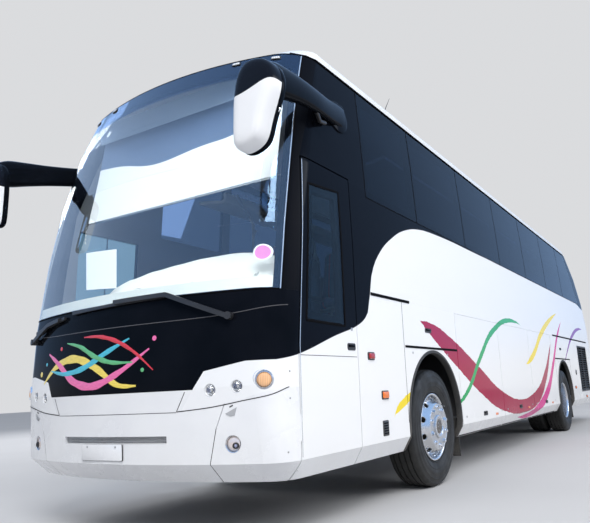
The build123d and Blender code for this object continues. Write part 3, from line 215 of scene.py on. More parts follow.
def new_group(name, inputs, outputs):
    """A shader group with float or colour sockets; returns the tree, its inputs and its output node."""
    tree = bpy.data.node_groups.new(name, "ShaderNodeTree")
    for label, value in inputs.items():
        kind = "NodeSocketColor" if isinstance(value, tuple) else "NodeSocketFloat"
        tree.interface.new_socket(label, in_out="INPUT", socket_type=kind).default_value = value
    for label, kind in outputs.items():
        tree.interface.new_socket(label, in_out="OUTPUT", socket_type=kind)
    entry = tree.nodes.new("NodeGroupInput")
    return tree, entry.outputs, tree.nodes.new("NodeGroupOutput")


def own_point(tree):
    """The object's own coordinates."""
    return put(tree, "ShaderNodeTexCoord").outputs["Object"]


def own_xyz(tree):
    """The object's own coordinates, split."""
    return put(tree, "ShaderNodeSeparateXYZ", {0: own_point(tree)}).outputs[:]


def make_dust_group():
    """Road dust that thins out with height, broken up by noise."""
    tree, given, result = new_group("road_dust", {"Rise": 0.9, "Strength": 0.3, "Scale": 3.0},
                                    {"Mask": "NodeSocketFloat"})
    point, z = own_point(tree), own_xyz(tree)[2]
    fall = calc(tree, "SUBTRACT", 1.0, calc(tree, "DIVIDE", z, given["Rise"]), clamp=True)
    blotch = ramp(tree, noise(tree, point, given["Scale"], 6.0, 0.65), 0.25, 0.8)
    speck = ramp(tree, noise(tree, point, 160.0, 2.0), 0.35, 0.75)
    mixed = times(tree, calc(tree, "ADD", blotch, times(tree, speck, 0.35)), fall)
    tree.links.new(times(tree, mixed, given["Strength"], clamp=True), result.inputs["Mask"])
    return tree


def make_wear_group():
    """Edges rubbed bright, from the surface's sharpness and noise."""
    tree, given, result = new_group("edge_wear", {"Amount": 0.5, "Scale": 40.0}, {"Mask": "NodeSocketFloat"})
    sharp = ramp(tree, put(tree, "ShaderNodeNewGeometry").outputs["Pointiness"], 0.53, 0.6)
    broken = ramp(tree, noise(tree, own_point(tree), given["Scale"], 5.0, 0.7), 0.4, 0.62)
    mask = times(tree, times(tree, sharp, broken), given["Amount"], clamp=True)
    tree.links.new(mask, result.inputs["Mask"])
    return tree


def make_grain_group():
    """Fine grain: a height for bump, and a slow change of shade."""
    tree, given, result = new_group("moulded_grain", {"Scale": 600.0, "Blotch": 2.0},
                                    {"Height": "NodeSocketFloat", "Shade": "NodeSocketFloat"})
    point = own_point(tree)
    cells = put(tree, "ShaderNodeTexVoronoi", {"Vector": point, "Scale": given["Scale"]}).outputs["Distance"]
    tree.links.new(cells, result.inputs["Height"])
    tree.links.new(noise(tree, point, given["Blotch"], 4.0), result.inputs["Shade"])
    return tree


def make_weave_group():
    """Woven cloth: crossed threads as height, with a mask of the warp."""
    tree, given, result = new_group("woven_cloth", {"Scale": 900.0},
                                    {"Height": "NodeSocketFloat", "Warp": "NodeSocketFloat"})
    x, y, z = own_xyz(tree)
    a = calc(tree, "SINE", times(tree, calc(tree, "ADD", x, z), given["Scale"]))
    b = calc(tree, "SINE", times(tree, calc(tree, "SUBTRACT", y, z), given["Scale"]))
    warp = calc(tree, "GREATER_THAN", times(tree, a, b), 0.0)
    height = times(tree, calc(tree, "ADD", calc(tree, "ABSOLUTE", a), calc(tree, "ABSOLUTE", b)), 0.5)
    tree.links.new(height, result.inputs["Height"])
    tree.links.new(warp, result.inputs["Warp"])
    return tree


dust_group = make_dust_group()
wear_group = make_wear_group()
grain_group = make_grain_group()
weave_group = make_weave_group()


def use(tree, group, **values):
    """A placed group's outputs."""
    node = put(tree, "ShaderNodeGroup", node_tree=group)
    for key, value in values.items():
        node.inputs[key].default_value = value
    return node.outputs


def material(name, colour, roughness=0.5, **sockets):
    """A new material with its surface shader; returns the material, its tree and the shader."""
    made = bpy.data.materials.new(name)
    made.use_nodes = True
    tree = made.node_tree
    shader = tree.nodes["Principled BSDF"]
    shader.inputs["Base Color"].default_value = (*colour, 1)
    shader.inputs["Roughness"].default_value = roughness
    for key, value in sockets.items():
        shader.inputs[key.replace("_", " ")].default_value = value
    return made, tree, shader


def bump(tree, shader, height, strength, distance):
    """Relief on a surface from a height."""
    node = put(tree, "ShaderNodeBump", {"Height": height, "Strength": strength, "Distance": distance})
    tree.links.new(node.outputs[0], shader.inputs["Normal"])


def coloured(tree, shader, colour):
    """Feeds a surface's base colour."""
    tree.links.new(colour, shader.inputs["Base Color"])


def roughened(tree, shader, rough):
    """Feeds a surface's roughness."""
    tree.links.new(rough, shader.inputs["Roughness"])


def opaque(colour, scale=1.0):
    """A colour, scaled if wanted, with a full fourth channel."""
    return (*(c * scale for c in colour), 1)


DUST = (0.42, 0.38, 0.33, 1)
# Painted reflection: a sky-blue tint given to the reflections of paint and glass
SKY_SHINE = (0.50, 0.72, 1.0, 1)


def weathered(name, colour, roughness, second, rise=0.9, dust=0.25, grain=None, depth=0.0003, wear=0.0,
              bare=(0.6, 0.6, 0.6, 1), **sockets):
    """A rigid finish: base shade that varies slowly, grain, worn edges and dust near the road."""
    made, tree, shader = material(name, colour, roughness, **sockets)
    parts = use(tree, grain_group, Scale=grain or 700.0, Blotch=2.5)
    shade = ramp(tree, parts["Shade"], 0.3, 0.7)
    base = blend_colour(tree, shade, opaque(colour), opaque(second))
    if wear:
        base = blend_colour(tree, use(tree, wear_group, Amount=wear)["Mask"], base, bare)
    mask = use(tree, dust_group, Rise=rise, Strength=dust)["Mask"]
    coloured(tree, shader, blend_colour(tree, mask, base, DUST))
    rough = calc(tree, "ADD", roughness, times(tree, mask, 0.5), clamp=True)
    varied = times(tree, calc(tree, "SUBTRACT", shade, 0.5), 0.06)
    roughened(tree, shader, calc(tree, "ADD", rough, varied, clamp=True))
    if grain:
        bump(tree, shader, parts["Height"], 0.35, depth)
    return made


# ---------------------------------------------------------------- body paint
def curve_of(tree, value, points, low, high, scale):
    """A smooth curve through (input, output) points; the outputs are below scale."""
    unit = ramp(tree, value, low, high, smooth=False)
    node = put(tree, "ShaderNodeFloatCurve", {1: unit})
    curve = node.mapping.curves[0]
    spots = [((a - low) / (high - low), b / scale) for a, b in points]
    curve.points[0].location, curve.points[1].location = spots[0], spots[-1]
    for spot in spots[1:-1]:
        curve.points.new(*spot)
    node.mapping.update()
    return times(tree, node.outputs[0], scale)


# Lower edge of the black upper body, as station and height
BLACK_EDGE = [
    (-2.40, 1.10), (-2.25, 1.13), (-1.80, 1.265), (-1.41, 1.38), (-1.28, 1.47), (-1.225, 1.62), (-1.17, 1.80),
    (-1.02, 1.99), (-0.76, 2.17), (-0.45, 2.31), (-0.10, 2.39), (0.40, 2.425), (1.50, 2.44), (8.30, 2.44),
    (8.70, 2.38), (9.60, 2.30),
]
# Flowing bands: colour, then station, height and half width along each
BANDS = [
    ((0.34, 0.002, 0.045, 1), [(-0.35, 1.50, 0.0), (-0.1, 1.44, 0.05), (0.6, 1.20, 0.13), (1.3, 0.93, 0.15),
                              (2.1, 0.67, 0.12), (3.0, 0.56, 0.09), (3.9, 0.66, 0.10), (4.5, 0.92, 0.09),
                              (5.0, 1.30, 0.05), (5.3, 1.62, 0.0)]),
    ((0.62, 0.010, 0.24, 1), [(2.6, 0.45, 0.0), (3.2, 0.42, 0.03), (3.9, 0.50, 0.06), (4.6, 0.72, 0.08),
                             (5.2, 1.12, 0.07), (5.8, 1.62, 0.05), (6.5, 2.02, 0.0)]),
    ((0.03, 0.36, 0.12, 1), [(0.3, 0.62, 0.0), (0.8, 0.78, 0.03), (1.4, 1.18, 0.045), (2.0, 1.52, 0.04),
                             (2.8, 1.70, 0.03), (3.6, 1.62, 0.0)]),
    ((0.85, 0.66, 0.04, 1), [(-0.95, 0.62, 0.0), (-0.8, 0.74, 0.035), (0.5, 1.00, 0.0), (3.3, 1.10, 0.0),
                             (3.8, 1.22, 0.05), (4.6, 1.62, 0.06), (5.4, 1.90, 0.04), (6.2, 2.10, 0.0)]),
    ((0.22, 0.03, 0.30, 1), [(5.9, 0.95, 0.0), (6.6, 1.40, 0.03), (7.3, 1.72, 0.045), (8.0, 1.88, 0.03),
                             (8.7, 1.90, 0.0)]),
]
SPAN = (-2.4, 9.6)
WHITE, BLACK = (0.80, 0.81, 0.83), (0.004, 0.005, 0.008)
LINING = (0.17, 0.175, 0.185, 1)
GUTTER_Z = 3.442


def make_livery_group():
    """White lower body under a black upper body, with bands that flow along both sides."""
    tree, given, result = new_group("livery", {"White": opaque(WHITE), "Black": opaque(BLACK)},
                                    {"Color": "NodeSocketColor", "Upper": "NodeSocketFloat"})
    x, y, z = own_xyz(tree)
    s = calc(tree, "SUBTRACT", y, FRONT_AXLE_Y)
    across = calc(tree, "ABSOLUTE", x)
    colour = given["White"]
    ragged = times(tree, calc(tree, "SUBTRACT", streaks(tree, (1.0, 1.6, 14.0), 3.0), 0.5), 0.05)
    on_side = ramp(tree, across, 1.13, 1.17)
    for shade, path in BANDS:
        height = curve_of(tree, s, [(a, b) for a, b, _ in path], *SPAN, 4.0)
        half = curve_of(tree, s, [(SPAN[0], 0.0), *((a, c) for a, _, c in path), (SPAN[1], 0.0)], *SPAN, 0.5)
        away = calc(tree, "ABSOLUTE", calc(tree, "SUBTRACT", z, height))
        inside = calc(tree, "SUBTRACT", calc(tree, "ADD", half, times(tree, ragged, 0.6)), away)
        drawn = times(tree, ramp(tree, inside, 0.0, 0.004), ramp(tree, half, 0.004, 0.012))
        colour = blend_colour(tree, times(tree, drawn, on_side), colour, shade)
    edge = curve_of(tree, s, BLACK_EDGE, *SPAN, 4.0)
    upper = ramp(tree, calc(tree, "SUBTRACT", z, edge), -0.002, 0.002)
    upper = times(tree, upper, calc(tree, "LESS_THAN", z, GUTTER_Z))
    # Faces of walls, doors and flaps that look inwards are lined in grey
    normal = put(tree, "ShaderNodeSeparateXYZ", {0: put(tree, "ShaderNodeTexCoord").outputs["Normal"]}).outputs[0]
    outwards = times(tree, normal, calc(tree, "SIGN", x))
    lined = times(tree, calc(tree, "LESS_THAN", outwards, -0.5), calc(tree, "GREATER_THAN", across, 1.10))
    upper = times(tree, upper, calc(tree, "SUBTRACT", 1.0, lined))
    colour = blend_colour(tree, lined, colour, LINING)
    tree.links.new(blend_colour(tree, upper, colour, given["Black"]), result.inputs["Color"])
    tree.links.new(upper, result.inputs["Upper"])
    return tree


livery_group = make_livery_group()


def body_paint(name):
    """Clear-coated body paint with the livery on it."""
    made, tree, shader = material(name, (0.8, 0.8, 0.8), 0.25, Coat_Weight=0.5, Coat_Roughness=0.06,
                                  Specular_IOR_Level=0.10, IOR=1.25, Specular_Tint=SKY_SHINE)
    painted = use(tree, livery_group)
    mask = use(tree, dust_group, Rise=0.8, Strength=0.22, Scale=2.2)["Mask"]
    coloured(tree, shader, blend_colour(tree, mask, painted["Color"], DUST))
    tree.links.new(ramp(tree, painted["Upper"], 0.0, 1.0, 0.5, 0.0, smooth=False), shader.inputs["Coat Weight"])
    rough = ramp(tree, painted["Upper"], 0.0, 1.0, 0.25, 0.05, smooth=False)
    roughened(tree, shader, calc(tree, "ADD", rough, times(tree, mask, 0.5), clamp=True))
    grain = use(tree, grain_group, Scale=900.0, Blotch=1.2)["Height"]
    wave = noise(tree, own_point(tree), 1.7, 1.0)
    bump(tree, shader, calc(tree, "ADD", times(tree, grain, 0.02), wave), 0.12, 0.012)
    return made


paint = body_paint("body_paint")

# Plain gloss white and black for pieces outside the livery
gloss_white = weathered("gloss_white", WHITE, 0.25, (0.76, 0.77, 0.80), dust=0.2, Coat_Weight=0.5,
                        Coat_Roughness=0.08)
roof_white = weathered("roof_white", (0.78, 0.79, 0.80), 0.35, (0.70, 0.71, 0.72), rise=30.0, dust=0.12,
                       Coat_Weight=0.3, Coat_Roughness=0.1)
black_gloss = weathered("black_gloss", (0.003, 0.004, 0.006), 0.07, (0.005, 0.006, 0.009), dust=0.02,
                        Specular_IOR_Level=0.10, IOR=1.25, Specular_Tint=SKY_SHINE)
black_plastic = weathered("black_plastic", (0.018, 0.018, 0.020), 0.45, (0.03, 0.03, 0.032), grain=900.0, dust=0.15)
grey_plastic = weathered("grey_plastic", (0.40, 0.41, 0.43), 0.45, (0.36, 0.37, 0.39), grain=800.0, rise=1.6, dust=0.2)
rubber_seal = weathered("rubber_seal", (0.003, 0.003, 0.004), 0.6, (0.005, 0.005, 0.006), grain=1200.0, dust=0.02,
                        Specular_IOR_Level=0.1, IOR=1.2)
# Painted light: a faint glow makes the cream dashboard trim look lit behind the glass
cream_trim_painted_glow = weathered("cream_trim_painted_glow", (0.86, 0.84, 0.77), 0.5, (0.80, 0.78, 0.71), grain=600.0, dust=0.0,
                       Emission_Color=(1.0, 0.97, 0.90, 1), Emission_Strength=0.10)
pale_trim = weathered("pale_trim", (0.66, 0.65, 0.61), 0.6, (0.60, 0.59, 0.55), grain=500.0, dust=0.0)


def windscreen_frame_paint():
    """Black frame whose lower ledge, seen through the glass, is trimmed like the dashboard."""
    made, tree, shader = material("windscreen_frame_paint", BLACK, 0.3, Specular_IOR_Level=0.07, IOR=1.2)
    x, _, z = own_xyz(tree)
    ledge = times(tree, ramp(tree, z, 1.5560, 1.5575), ramp(tree, z, 1.6400, 1.6420, 1.0, 0.0))
    ledge = times(tree, ledge, ramp(tree, calc(tree, "ABSOLUTE", x), 1.190, 1.195, 1.0, 0.0))
    parts = use(tree, grain_group, Scale=600.0, Blotch=2.0)
    cream = blend_colour(tree, parts["Shade"], (0.84, 0.83, 0.76, 1), (0.74, 0.73, 0.66, 1))
    black = blend_colour(tree, parts["Shade"], opaque(BLACK), (0.006, 0.007, 0.010, 1))
    coloured(tree, shader, blend_colour(tree, ledge, black, cream))
    bump(tree, shader, parts["Height"], 0.1, 0.0002)
    return made


frame_paint = windscreen_frame_paint()
chassis_paint = weathered("chassis_paint", (0.02, 0.02, 0.022), 0.55, (0.05, 0.045, 0.04), rise=1.4, dust=0.55,
                          wear=0.4, bare=(0.10, 0.05, 0.03, 1), grain=300.0, depth=0.0006)
cast_metal = weathered("cast_metal", (0.10, 0.10, 0.10), 0.6, (0.16, 0.13, 0.11), rise=1.4, dust=0.45, grain=350.0,
                       depth=0.0008, wear=0.5, bare=(0.35, 0.33, 0.3, 1), Metallic=0.6)
alloy = weathered("polished_alloy", (0.78, 0.79, 0.81), 0.24, (0.66, 0.67, 0.69), rise=1.1, dust=0.22, wear=0.4,
                  bare=(0.9, 0.9, 0.92, 1), Metallic=1.0)
chrome = weathered("bright_chrome", (0.85, 0.86, 0.88), 0.08, (0.80, 0.81, 0.83), dust=0.08, Metallic=1.0)
steel = weathered("dull_steel", (0.45, 0.45, 0.46), 0.38, (0.36, 0.35, 0.34), grain=500.0, dust=0.25, wear=0.3,
                  Metallic=0.9)


# ---------------------------------------------------------------- glass, lamps, rubber, cloth
def glass(name, tint, roughness=0.03, dust=0.05, sun_band_with_painted_sky=None, ior=1.45):
    """A pane seen through, with a little dust, that lets lamps shine in; the top-band argument gives a darker band high
    on the pane: a tinted sun band, coloured blue as a painted reflection of the sky.
    """
    made, tree, shader = material(name, tint, roughness, Transmission_Weight=1.0, IOR=ior, Specular_Tint=SKY_SHINE)
    clear = put(tree, "ShaderNodeBsdfTransparent", {0: (*(0.5 + 0.5 * c for c in tint), 1)})
    shade_ray = put(tree, "ShaderNodeLightPath").outputs["Is Shadow Ray"]
    let_in = put(tree, "ShaderNodeMixShader", {0: shade_ray, 1: shader.outputs[0], 2: clear.outputs[0]})
    tree.links.new(let_in.outputs[0], tree.nodes["Material Output"].inputs["Surface"])
    mask = use(tree, dust_group, Rise=6.0, Strength=dust, Scale=1.4)["Mask"]
    base = opaque(tint)
    if sun_band_with_painted_sky:
        dark, low, high = sun_band_with_painted_sky
        base = blend_colour(tree, ramp(tree, own_xyz(tree)[2], low, high), base, opaque(dark))
    coloured(tree, shader, blend_colour(tree, mask, base, DUST))
    roughened(tree, shader, calc(tree, "ADD", times(tree, mask, 0.25), roughness))
    return made


# Painted reflection: the blue in these dark glass tints stands in for the sky mirrored in the panes, over the glass's
# own dark tint
side_glass = glass("dark_side_glass", (0.030, 0.050, 0.100), 0.015, 0.012, ior=1.165)
door_glass = glass("door_glass", (0.22, 0.38, 0.50), 0.015, 0.015, ior=1.24)
# Painted reflection: the screen's blue tint and the blue of its darker top band stand in for the sky mirrored in the
# glass
screen_glass = glass("screen_glass", (0.86, 0.94, 1.0), 0.01, 0.012, sun_band_with_painted_sky=((0.20, 0.32, 0.60), 3.22, 3.26),
                     ior=1.80)
lamp_glass = glass("lamp_glass", (0.95, 0.96, 0.97), 0.02, 0.10)
mirror_glass = weathered("mirror_glass", (0.85, 0.88, 0.90), 0.02, (0.80, 0.83, 0.85), dust=0.04, rise=6.0,
                         Metallic=1.0)


def lens(name, colour, ribs=260.0):
    """A moulded lens: glossy colour with fine upright ribs under the surface."""
    made, tree, shader = material(name, colour, 0.12, Coat_Weight=0.7, Coat_Roughness=0.04)
    x, y, _ = own_xyz(tree)
    ribbed = calc(tree, "SINE", times(tree, calc(tree, "ADD", x, y), ribs))
    shade = ramp(tree, ribbed, -1.0, 1.0, 0.0, 0.45, smooth=False)
    coloured(tree, shader, blend_colour(tree, shade, opaque(colour), opaque(colour, 0.45)))
    bump(tree, shader, ribbed, 0.25, 0.002)
    return made


red_lens = lens("red_lens", (0.42, 0.012, 0.012))
amber_lens = lens("amber_lens", (0.80, 0.26, 0.02))
clear_lens = lens("clear_lens", (0.72, 0.74, 0.76))
orange_marker = lens("orange_marker", (0.90, 0.20, 0.02), 500.0)

black_rubber = weathered("black_rubber", (0.016, 0.016, 0.017), 0.62, (0.03, 0.03, 0.03), rise=1.3, dust=0.3,
                         grain=700.0)


def tyre_rubber():
    """Tyre rubber, dusty low down and slightly mottled."""
    made, tree, shader = material("tyre_rubber", (0.010, 0.010, 0.011), 0.66)
    mask = use(tree, dust_group, Rise=1.25, Strength=0.20, Scale=6.0)["Mask"]
    parts = use(tree, grain_group, Scale=420.0, Blotch=9.0)
    shade = blend_colour(tree, parts["Shade"], (0.005, 0.005, 0.005, 1), (0.012, 0.012, 0.011, 1))
    coloured(tree, shader, blend_colour(tree, mask, shade, (0.10, 0.092, 0.082, 1)))
    roughened(tree, shader, ramp(tree, parts["Shade"], 0.2, 0.8, 0.5, 0.78))
    bump(tree, shader, parts["Height"], 0.25, 0.0008)
    return made


tyre = tyre_rubber()


def cloth(name, colour, second, scale=850.0, stripe=None):
    """Woven cloth; stripe adds soft upright bands of a colour at a spacing."""
    made, tree, shader = material(name, colour, 0.85, Sheen_Weight=0.35, Sheen_Roughness=0.4)
    woven = use(tree, weave_group, Scale=scale)
    parts = use(tree, grain_group, Scale=300.0, Blotch=3.0)
    shade = blend_colour(tree, woven["Warp"], opaque(colour), opaque(second))
    if stripe:
        tone, spacing = stripe
        band = calc(tree, "SINE", times(tree, own_xyz(tree)[0], 2 * math.pi / spacing))
        shade = blend_colour(tree, ramp(tree, band, 0.75, 0.95), shade, opaque(tone))
    dim = ramp(tree, parts["Shade"], 0.2, 0.8, 0.0, 0.35)
    coloured(tree, shader, blend_colour(tree, dim, shade, opaque(colour, 0.5)))
    bump(tree, shader, woven["Height"], 0.35, 0.0009)
    return made


seat_cloth = cloth("seat_cloth", (0.10, 0.13, 0.24), (0.17, 0.20, 0.32), stripe=((0.45, 0.10, 0.16), 0.14))
drivers_cloth = cloth("drivers_cloth", (0.05, 0.06, 0.09), (0.09, 0.10, 0.14), stripe=((0.20, 0.22, 0.30), 0.10))
blind_cloth = cloth("blind_cloth", (0.80, 0.80, 0.78), (0.72, 0.73, 0.72), scale=1400.0)


def floor_mat():
    """Ribbed rubber flooring with scuffs."""
    made, tree, shader = material("floor_mat", (0.09, 0.09, 0.10), 0.6)
    rib = calc(tree, "SINE", times(tree, own_xyz(tree)[0], 420.0))
    parts = use(tree, grain_group, Scale=500.0, Blotch=4.0)
    coloured(tree, shader, blend_colour(tree, parts["Shade"], (0.06, 0.06, 0.065, 1), (0.15, 0.14, 0.13, 1)))
    bump(tree, shader, rib, 0.5, 0.0015)
    return made


ribbed_mat = floor_mat()

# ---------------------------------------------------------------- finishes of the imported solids
NODES_BY_FINISH = [
    (paint, "drivers_door engine_lid front_quarters headlamp_pods luggage_flap_left_1 luggage_flap_left_2 "
            "luggage_flap_left_3 luggage_flap_right_1 luggage_flap_right_2 passenger_doors rear_quarters rear_wall "
            "side_wall_left side_wall_right"),
    (gloss_white, "front_bumper mirrors rear_bumper"),
    (roof_white, "roof roof_hatch roof_unit"),
    (black_gloss, "front_mask"),
    (frame_paint, "windscreen_frame"),
    (black_plastic, "radiator_grilles steering_wheel wheel_housings wipers"),
    (grey_plastic, "luggage_hold"),
    (cream_trim_painted_glow, "dashboard"),
    (ribbed_mat, "deck drivers_platform stairs"),
    (chassis_paint, "chassis_frame front_axle knuckle_left knuckle_right rear_axle"),
    (cast_metal, "engine"),
    (steel, "tie_rod"),
    (alloy, "front_left_rim front_right_rim rear_left_rims rear_right_rims"),
    (tyre, "front_left_tyre front_right_tyre rear_left_tyres rear_right_tyres"),
    (black_rubber, "air_springs"),
    (side_glass, "rear_window side_windows"),
    (door_glass, "drivers_door_glass passenger_door_glass"),
    (screen_glass, "windscreen"),
    (lamp_glass, "front_lamps"),
    (red_lens, "tail_lamps"),
    (drivers_cloth, "drivers_seat"),
    (seat_cloth, "passenger_seats"),
    (blind_cloth, "sun_blind"),
]
finish_of = {name: finish for finish, names in NODES_BY_FINISH for name in names.split()}
for node_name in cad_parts:
    materials = bpy.data.objects[node_name].data.materials
    materials.clear()
    materials.append(finish_of[node_name])


# ---------------------------------------------------------------- shaping
SMOOTH_BELOW = math.radians(38)
# Sections of strips, as (part of the width, part of the height)
MOULDING = [(-0.5, -0.15), (-0.5, 0.55), (-0.36, 1.0), (0.36, 1.0), (0.5, 0.55), (0.5, -0.15)]
FLAT_SEAM = [(-0.5, -0.6), (-0.5, 0.7), (-0.3, 1.0), (0.3, 1.0), (0.5, 0.7), (0.5, -0.6)]


def link(made):
    """Puts an object into the scene."""
    bpy.context.scene.collection.objects.link(made)
    return made


def worked_out(made):
    """The mesh of an object with its modifiers carried out; the object itself is spent."""
    graph = bpy.context.evaluated_depsgraph_get()
    mesh = bpy.data.meshes.new_from_object(made.evaluated_get(graph), depsgraph=graph)
    bpy.data.objects.remove(made)
    return mesh


def about(centre, outward):
    """Gives points by (radius, height, angle) about an axis that points outward."""
    centre, outward = Vector(centre), Vector(outward).normalized()
    side = outward.orthogonal().normalized()
    other = outward.cross(side)
    return lambda r, h, t: centre + outward * h + r * (math.cos(t) * side + math.sin(t) * other)


def set_down(name, mesh, body):
    """Links a finished mesh as a piece that rides on a body."""
    mesh.polygons.foreach_set("use_smooth", [True] * len(mesh.polygons))
    mesh.set_sharp_from_angle(angle=SMOOTH_BELOW)
    made = link(bpy.data.objects.new(name, mesh))
    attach(made, body)
    return made


class Shape:
    """Points and faces gathered into one piece, with a finish for each face."""

    def __init__(self):
        self.points, self.faces, self.face_finish, self.palette = [], [], [], []

    def add(self, points, faces, finish):
        """Adds a form."""
        if finish not in self.palette:
            self.palette.append(finish)
        base = len(self.points)
        self.points += [tuple(p) for p in points]
        self.faces += [tuple(base + i for i in face) for face in faces]
        self.face_finish += [self.palette.index(finish)] * len(faces)

    def rings(self, rings, finish, closed=False):
        """Skins equal rings of points; closed joins the last ring to the first, else both ends are capped."""
        count, size = len(rings), len(rings[0])
        faces = []
        for k in range(count if closed else count - 1):
            a, b = k * size, ((k + 1) % count) * size
            faces += [(a + j, a + (j + 1) % size, b + (j + 1) % size, b + j) for j in range(size)]
        if not closed:
            faces += [tuple(range(size))[::-1], tuple((count - 1) * size + j for j in range(size))]
        self.add([p for ring in rings for p in ring], faces, finish)

    def tube(self, path, radius, finish, sides=10, closed=False):
        """A round tube along a path; radius is one for all or one for each point."""
        path = [Vector(p) for p in path]
        count = len(path)
        radii = radius if isinstance(radius, list) else [radius] * count
        rings, normal = [], None
        for k, point in enumerate(path):
            before = path[(k - 1) % count] if closed or k else path[0]
            after = path[(k + 1) % count] if closed or k < count - 1 else path[-1]
            run = (after - before).normalized()
            if normal is None:
                normal = run.cross(Vector((0, 0, 1)))
                if normal.length < 0.05:
                    normal = run.cross(Vector((0, 1, 0)))
            normal = (normal - run * normal.dot(run)).normalized()
            other = run.cross(normal)
            rings.append([point + radii[k] * (math.cos(t) * normal + math.sin(t) * other) for t in turns(sides)])
        self.rings(rings, finish, closed)

    def strip(self, path, across, up, finish, section=MOULDING):
        """A moulding on a surface: path holds (point, outward) pairs, across its width, up its height."""
        rings = []
        for k, (point, outward) in enumerate(path):
            before, after = path[max(k - 1, 0)][0], path[min(k + 1, len(path) - 1)][0]
            wide = (after - before).cross(outward).normalized()
            rings.append([point + wide * (a * across) + outward * (b * up) for a, b in section])
        self.rings(rings, finish)

    def seam(self, path, across, up, finish=rubber_seal):
        """A thin strip with a flat section."""
        self.strip(path, across, up, finish, FLAT_SEAM)

    def spin(self, profile, centre, finish, side=1, steps=64):
        """A closed profile of (axial, radius) turned about the axle's line through a centre."""
        x, y, z = centre
        self.rings([[(x + side * a, y + r * math.cos(t), z + r * math.sin(t)) for a, r in profile]
                    for t in turns(steps)], finish, closed=True)

    def block(self, corner, opposite, finish, edge=0.004):
        """A block with softened edges between two corners."""
        low, high = (Vector([pick(pair) for pair in zip(corner, opposite)]) for pick in (min, max))
        mid, half = (low + high) / 2, (high - low) / 2
        form = bmesh.new()
        bmesh.ops.create_cube(form, size=2.0)
        for v in form.verts:
            v.co = Vector((v.co.x * half.x, v.co.y * half.y, v.co.z * half.z))
        edge = min(edge, 0.45 * min(half) * 2)
        bmesh.ops.bevel(form, geom=form.edges[:], offset=edge, segments=2, profile=0.6, affect="EDGES")
        form.verts.index_update()
        self.add([v.co + mid for v in form.verts], [[v.index for v in f.verts] for f in form.faces], finish)
        form.free()

    def bar(self, x, half, low, high, finish, edge=0.004):
        """A block of a half width about a place across, between two (y, z) corners."""
        self.block((x - half, *low), (x + half, *high), finish, edge)

    def lathe(self, profile, centre, outward, finish, sides=36):
        """A closed profile of (radius, height) turned about an axis that points outward."""
        place = about(centre, outward)
        self.rings([[place(r, h, t) for r, h in profile] for t in turns(sides)], finish, closed=True)

    def stack(self, rows, centre, outward, finish, sides):
        """Round rings of (radius, height) stacked outwards and capped."""
        place = about(centre, outward)
        self.rings([[place(r, h, t) for t in turns(sides)] for r, h in rows], finish)

    def button(self, centre, outward, radius, height, finish, sides=20):
        """A round boss that stands off a surface, with a softened rim."""
        rows = [(1.0, -0.3), (1.0, 1 - 0.3), (1 - 0.3 * 0.35, 1 - 0.3 * 0.3), (1 - 0.3, 1.0)]
        self.stack([(radius * a, b * height) for a, b in rows], centre, outward, finish, sides)

    def cap(self, centre, outward, radius, bulge, finish, sides=24, rows=5, back=0.002):
        """A closed dome, such as a lamp lens."""
        tilts = [math.pi / 2 * k / rows * 0.97 for k in range(rows + 1)]
        levels = [(1.0, -back)] + [(math.cos(t), bulge * math.sin(t)) for t in tilts]
        self.stack([(radius * a, b) for a, b in levels], centre, outward, finish, sides)

    def mesh(self, name):
        """The gathered forms as a mesh whose faces point outwards."""
        mesh = bpy.data.meshes.new(name)
        mesh.from_pydata(self.points, [], self.faces)
        for finish in self.palette:
            mesh.materials.append(finish)
        mesh.polygons.foreach_set("material_index", self.face_finish)
        form = bmesh.new()
        form.from_mesh(mesh)
        bmesh.ops.remove_doubles(form, verts=form.verts, dist=0.00002)
        bmesh.ops.recalc_face_normals(form, faces=form.faces)
        form.to_mesh(mesh)
        form.free()
        return mesh

    def piece(self, name, slot, body="body"):
        """The finished piece."""
        return set_down(name, self.mesh(name), body)


def make_setting_out():
    """Geometry nodes that put a unit on every point, facing outward and turned along."""
    tree = bpy.data.node_groups.new("set_out_units", "GeometryNodeTree")
    for label, way, kind in (("Points", "INPUT", "Geometry"), ("Unit", "INPUT", "Object"), ("Size", "INPUT", "Float"),
                             ("Finish", "INPUT", "Material"), ("Set Out", "OUTPUT", "Geometry")):
        socket = tree.interface.new_socket(label, in_out=way, socket_type="NodeSocket" + kind)
        if label == "Size":
            socket.default_value = 1.0
    entry, result = tree.nodes.new("NodeGroupInput"), tree.nodes.new("NodeGroupOutput")
    unit = put(tree, "GeometryNodeObjectInfo", {"Object": entry.outputs["Unit"]})
    outward, along_run = (put(tree, "GeometryNodeInputNamedAttribute", {"Name": label},
                              data_type="FLOAT_VECTOR").outputs["Attribute"] for label in ("outward", "along"))
    stand = put(tree, "FunctionNodeAlignRotationToVector", {"Vector": outward}, axis="Z").outputs[0]
    turn_to = put(tree, "FunctionNodeAlignRotationToVector", {"Rotation": stand, "Vector": along_run}, axis="X",
                  pivot_axis="Z").outputs[0]
    placed = put(tree, "GeometryNodeInstanceOnPoints",
                 {"Points": entry.outputs["Points"], "Instance": unit.outputs["Geometry"], "Rotation": turn_to,
                  "Scale": entry.outputs["Size"]})
    real = put(tree, "GeometryNodeRealizeInstances", {0: placed.outputs[0]}).outputs[0]
    painted = put(tree, "GeometryNodeSetMaterial", {"Geometry": real, "Material": entry.outputs["Finish"]})
    tree.links.new(painted.outputs[0], result.inputs[0])
    return tree


setting_out = make_setting_out()


